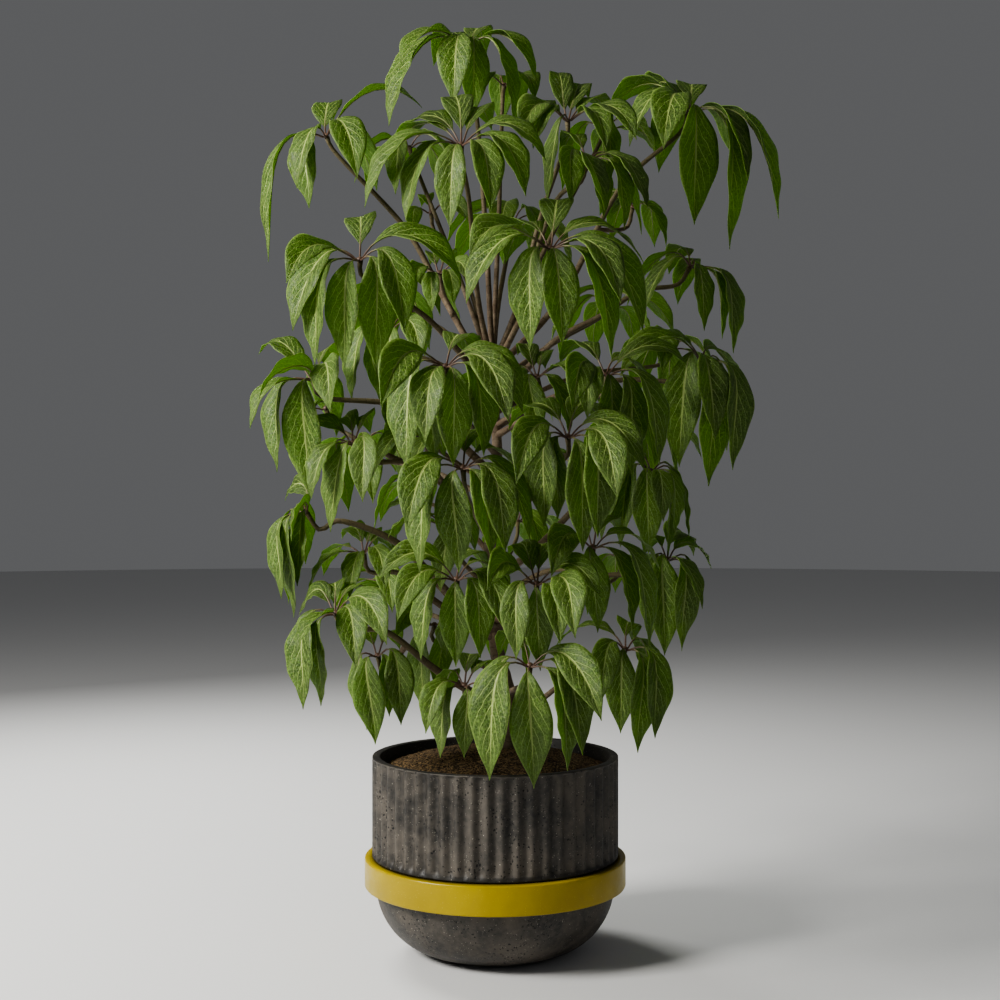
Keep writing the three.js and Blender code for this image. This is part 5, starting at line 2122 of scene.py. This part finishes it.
@dataclass(frozen=True)
class Lamp:
    """A square soft light, in metres and watts.

    Attributes:
        name: Its name.
        place: Where it stands.
        aim: Where it points.
        size: The length of its side.
        power: Its power.
        colour: Its colour.
        mirrored: False if glossy surfaces don't show it.
    """

    name: str
    place: Point3
    aim: Point3
    size: float
    power: float
    colour: Point3
    mirrored: bool = True

    def build(self) -> None:
        """Makes the light."""
        lamp = bpy.data.lights.new(self.name, "AREA")
        lamp.size = self.size
        lamp.energy = self.power
        lamp.color = self.colour
        made = bpy.data.objects.new(self.name, lamp)
        made.location = self.place
        made.visible_glossy = self.mirrored
        made.rotation_euler = (Vector(self.aim) - Vector(self.place)).to_track_quat("-Z", "Y").to_euler()
        bpy.context.scene.collection.objects.link(made)


@dataclass
class Studio:
    """A plain pale floor, soft lights and the camera at the photograph's angle, in metres."""

    camera_place: Point3 = (0.0077, -2.49, 0.728)
    lens: float = 55.0
    sensor: float = 36.0
    floor_radius: float = 14.0
    floor_steps: int = 96
    floor_colour: Colour = (0.66, 0.66, 0.655, 1.0)
    floor_roughness: float = 0.85
    sky_colour: Colour = (0.80, 0.81, 0.83, 1.0)
    sky_strength: float = 0.15
    look: str = "AgX - Medium High Contrast"
    lamps: tuple[Lamp, ...] = (
        Lamp("key", (-2.6, -1.4, 2.3), (0, 0, 0.75), 1.1, 185, (1.0, 0.98, 0.94)),
        Lamp("rim", (-1.5, 2.0, 2.3), (0, 0, 0.9), 1.2, 85, (1.0, 1.0, 0.97), mirrored=False),
        Lamp("fill", (2.6, -1.8, 1.4), (0, 0, 0.7), 2.0, 3, (0.95, 0.97, 1.0)),
    )

    def floor(self) -> None:
        """Makes the floor."""
        bm = bmesh.new()
        bmesh.ops.create_circle(bm, cap_ends=True, segments=self.floor_steps, radius=self.floor_radius)
        mesh = bpy.data.meshes.new("studio_floor")
        bm.to_mesh(mesh)
        bm.free()
        pale, nodes, shader = Finish("studio_floor", self.floor_roughness).start()
        nodes.fill(shader, Base_Color=self.floor_colour)
        mesh.materials.append(pale)
        floor = bpy.data.objects.new("studio_floor", mesh)
        bpy.context.scene.collection.objects.link(floor)

    def camera(self) -> None:
        """Makes the camera."""
        lens = bpy.data.cameras.new("camera")
        lens.lens = self.lens
        lens.sensor_width = self.sensor
        camera = bpy.data.objects.new("camera", lens)
        camera.location = self.camera_place
        camera.rotation_euler = (math.pi / 2, 0, 0)
        bpy.context.scene.collection.objects.link(camera)
        bpy.context.scene.camera = camera

    def build(self) -> None:
        """Makes the floor, the sky, the lights and the camera."""
        self.floor()
        world = bpy.data.worlds.new("studio")
        world.use_nodes = True
        sky = world.node_tree.nodes["Background"]
        Nodes(world.node_tree).fill(sky, Color=self.sky_colour, Strength=self.sky_strength)
        bpy.context.scene.world = world
        bpy.context.scene.view_settings.look = self.look
        for lamp in self.lamps:
            lamp.build()
        self.camera()


def main() -> None:
    """Builds the plant and its studio."""
    Studio().build()
    weather, veins = Weathering().build(), LeafPattern().build()
    Planter().build(ConcreteFinish().dress(weather))
    Band().build(PaintFinish().dress(weather))
    SoilBed().build(SoilFinish().dress())
    Woodwork().build(BarkFinish().dress())
    upper = LeafFinish()
    under = LeafFinish("leaf_under", 0.6, deep=rgb(48, 78, 26), fresh=rgb(94, 128, 50),
                       vein=rgb(164, 184, 100), relief=Relief(0.8, 0.0009))
    finishes = [upper.dress(veins), under.dress(veins), StalkletFinish().dress()]
    foliage = Foliage()
    for number, head in enumerate(HEADS):
        foliage.head(head, number, finishes)


if __name__ == "__main__":
    logging.basicConfig(level=logging.INFO)
    main()
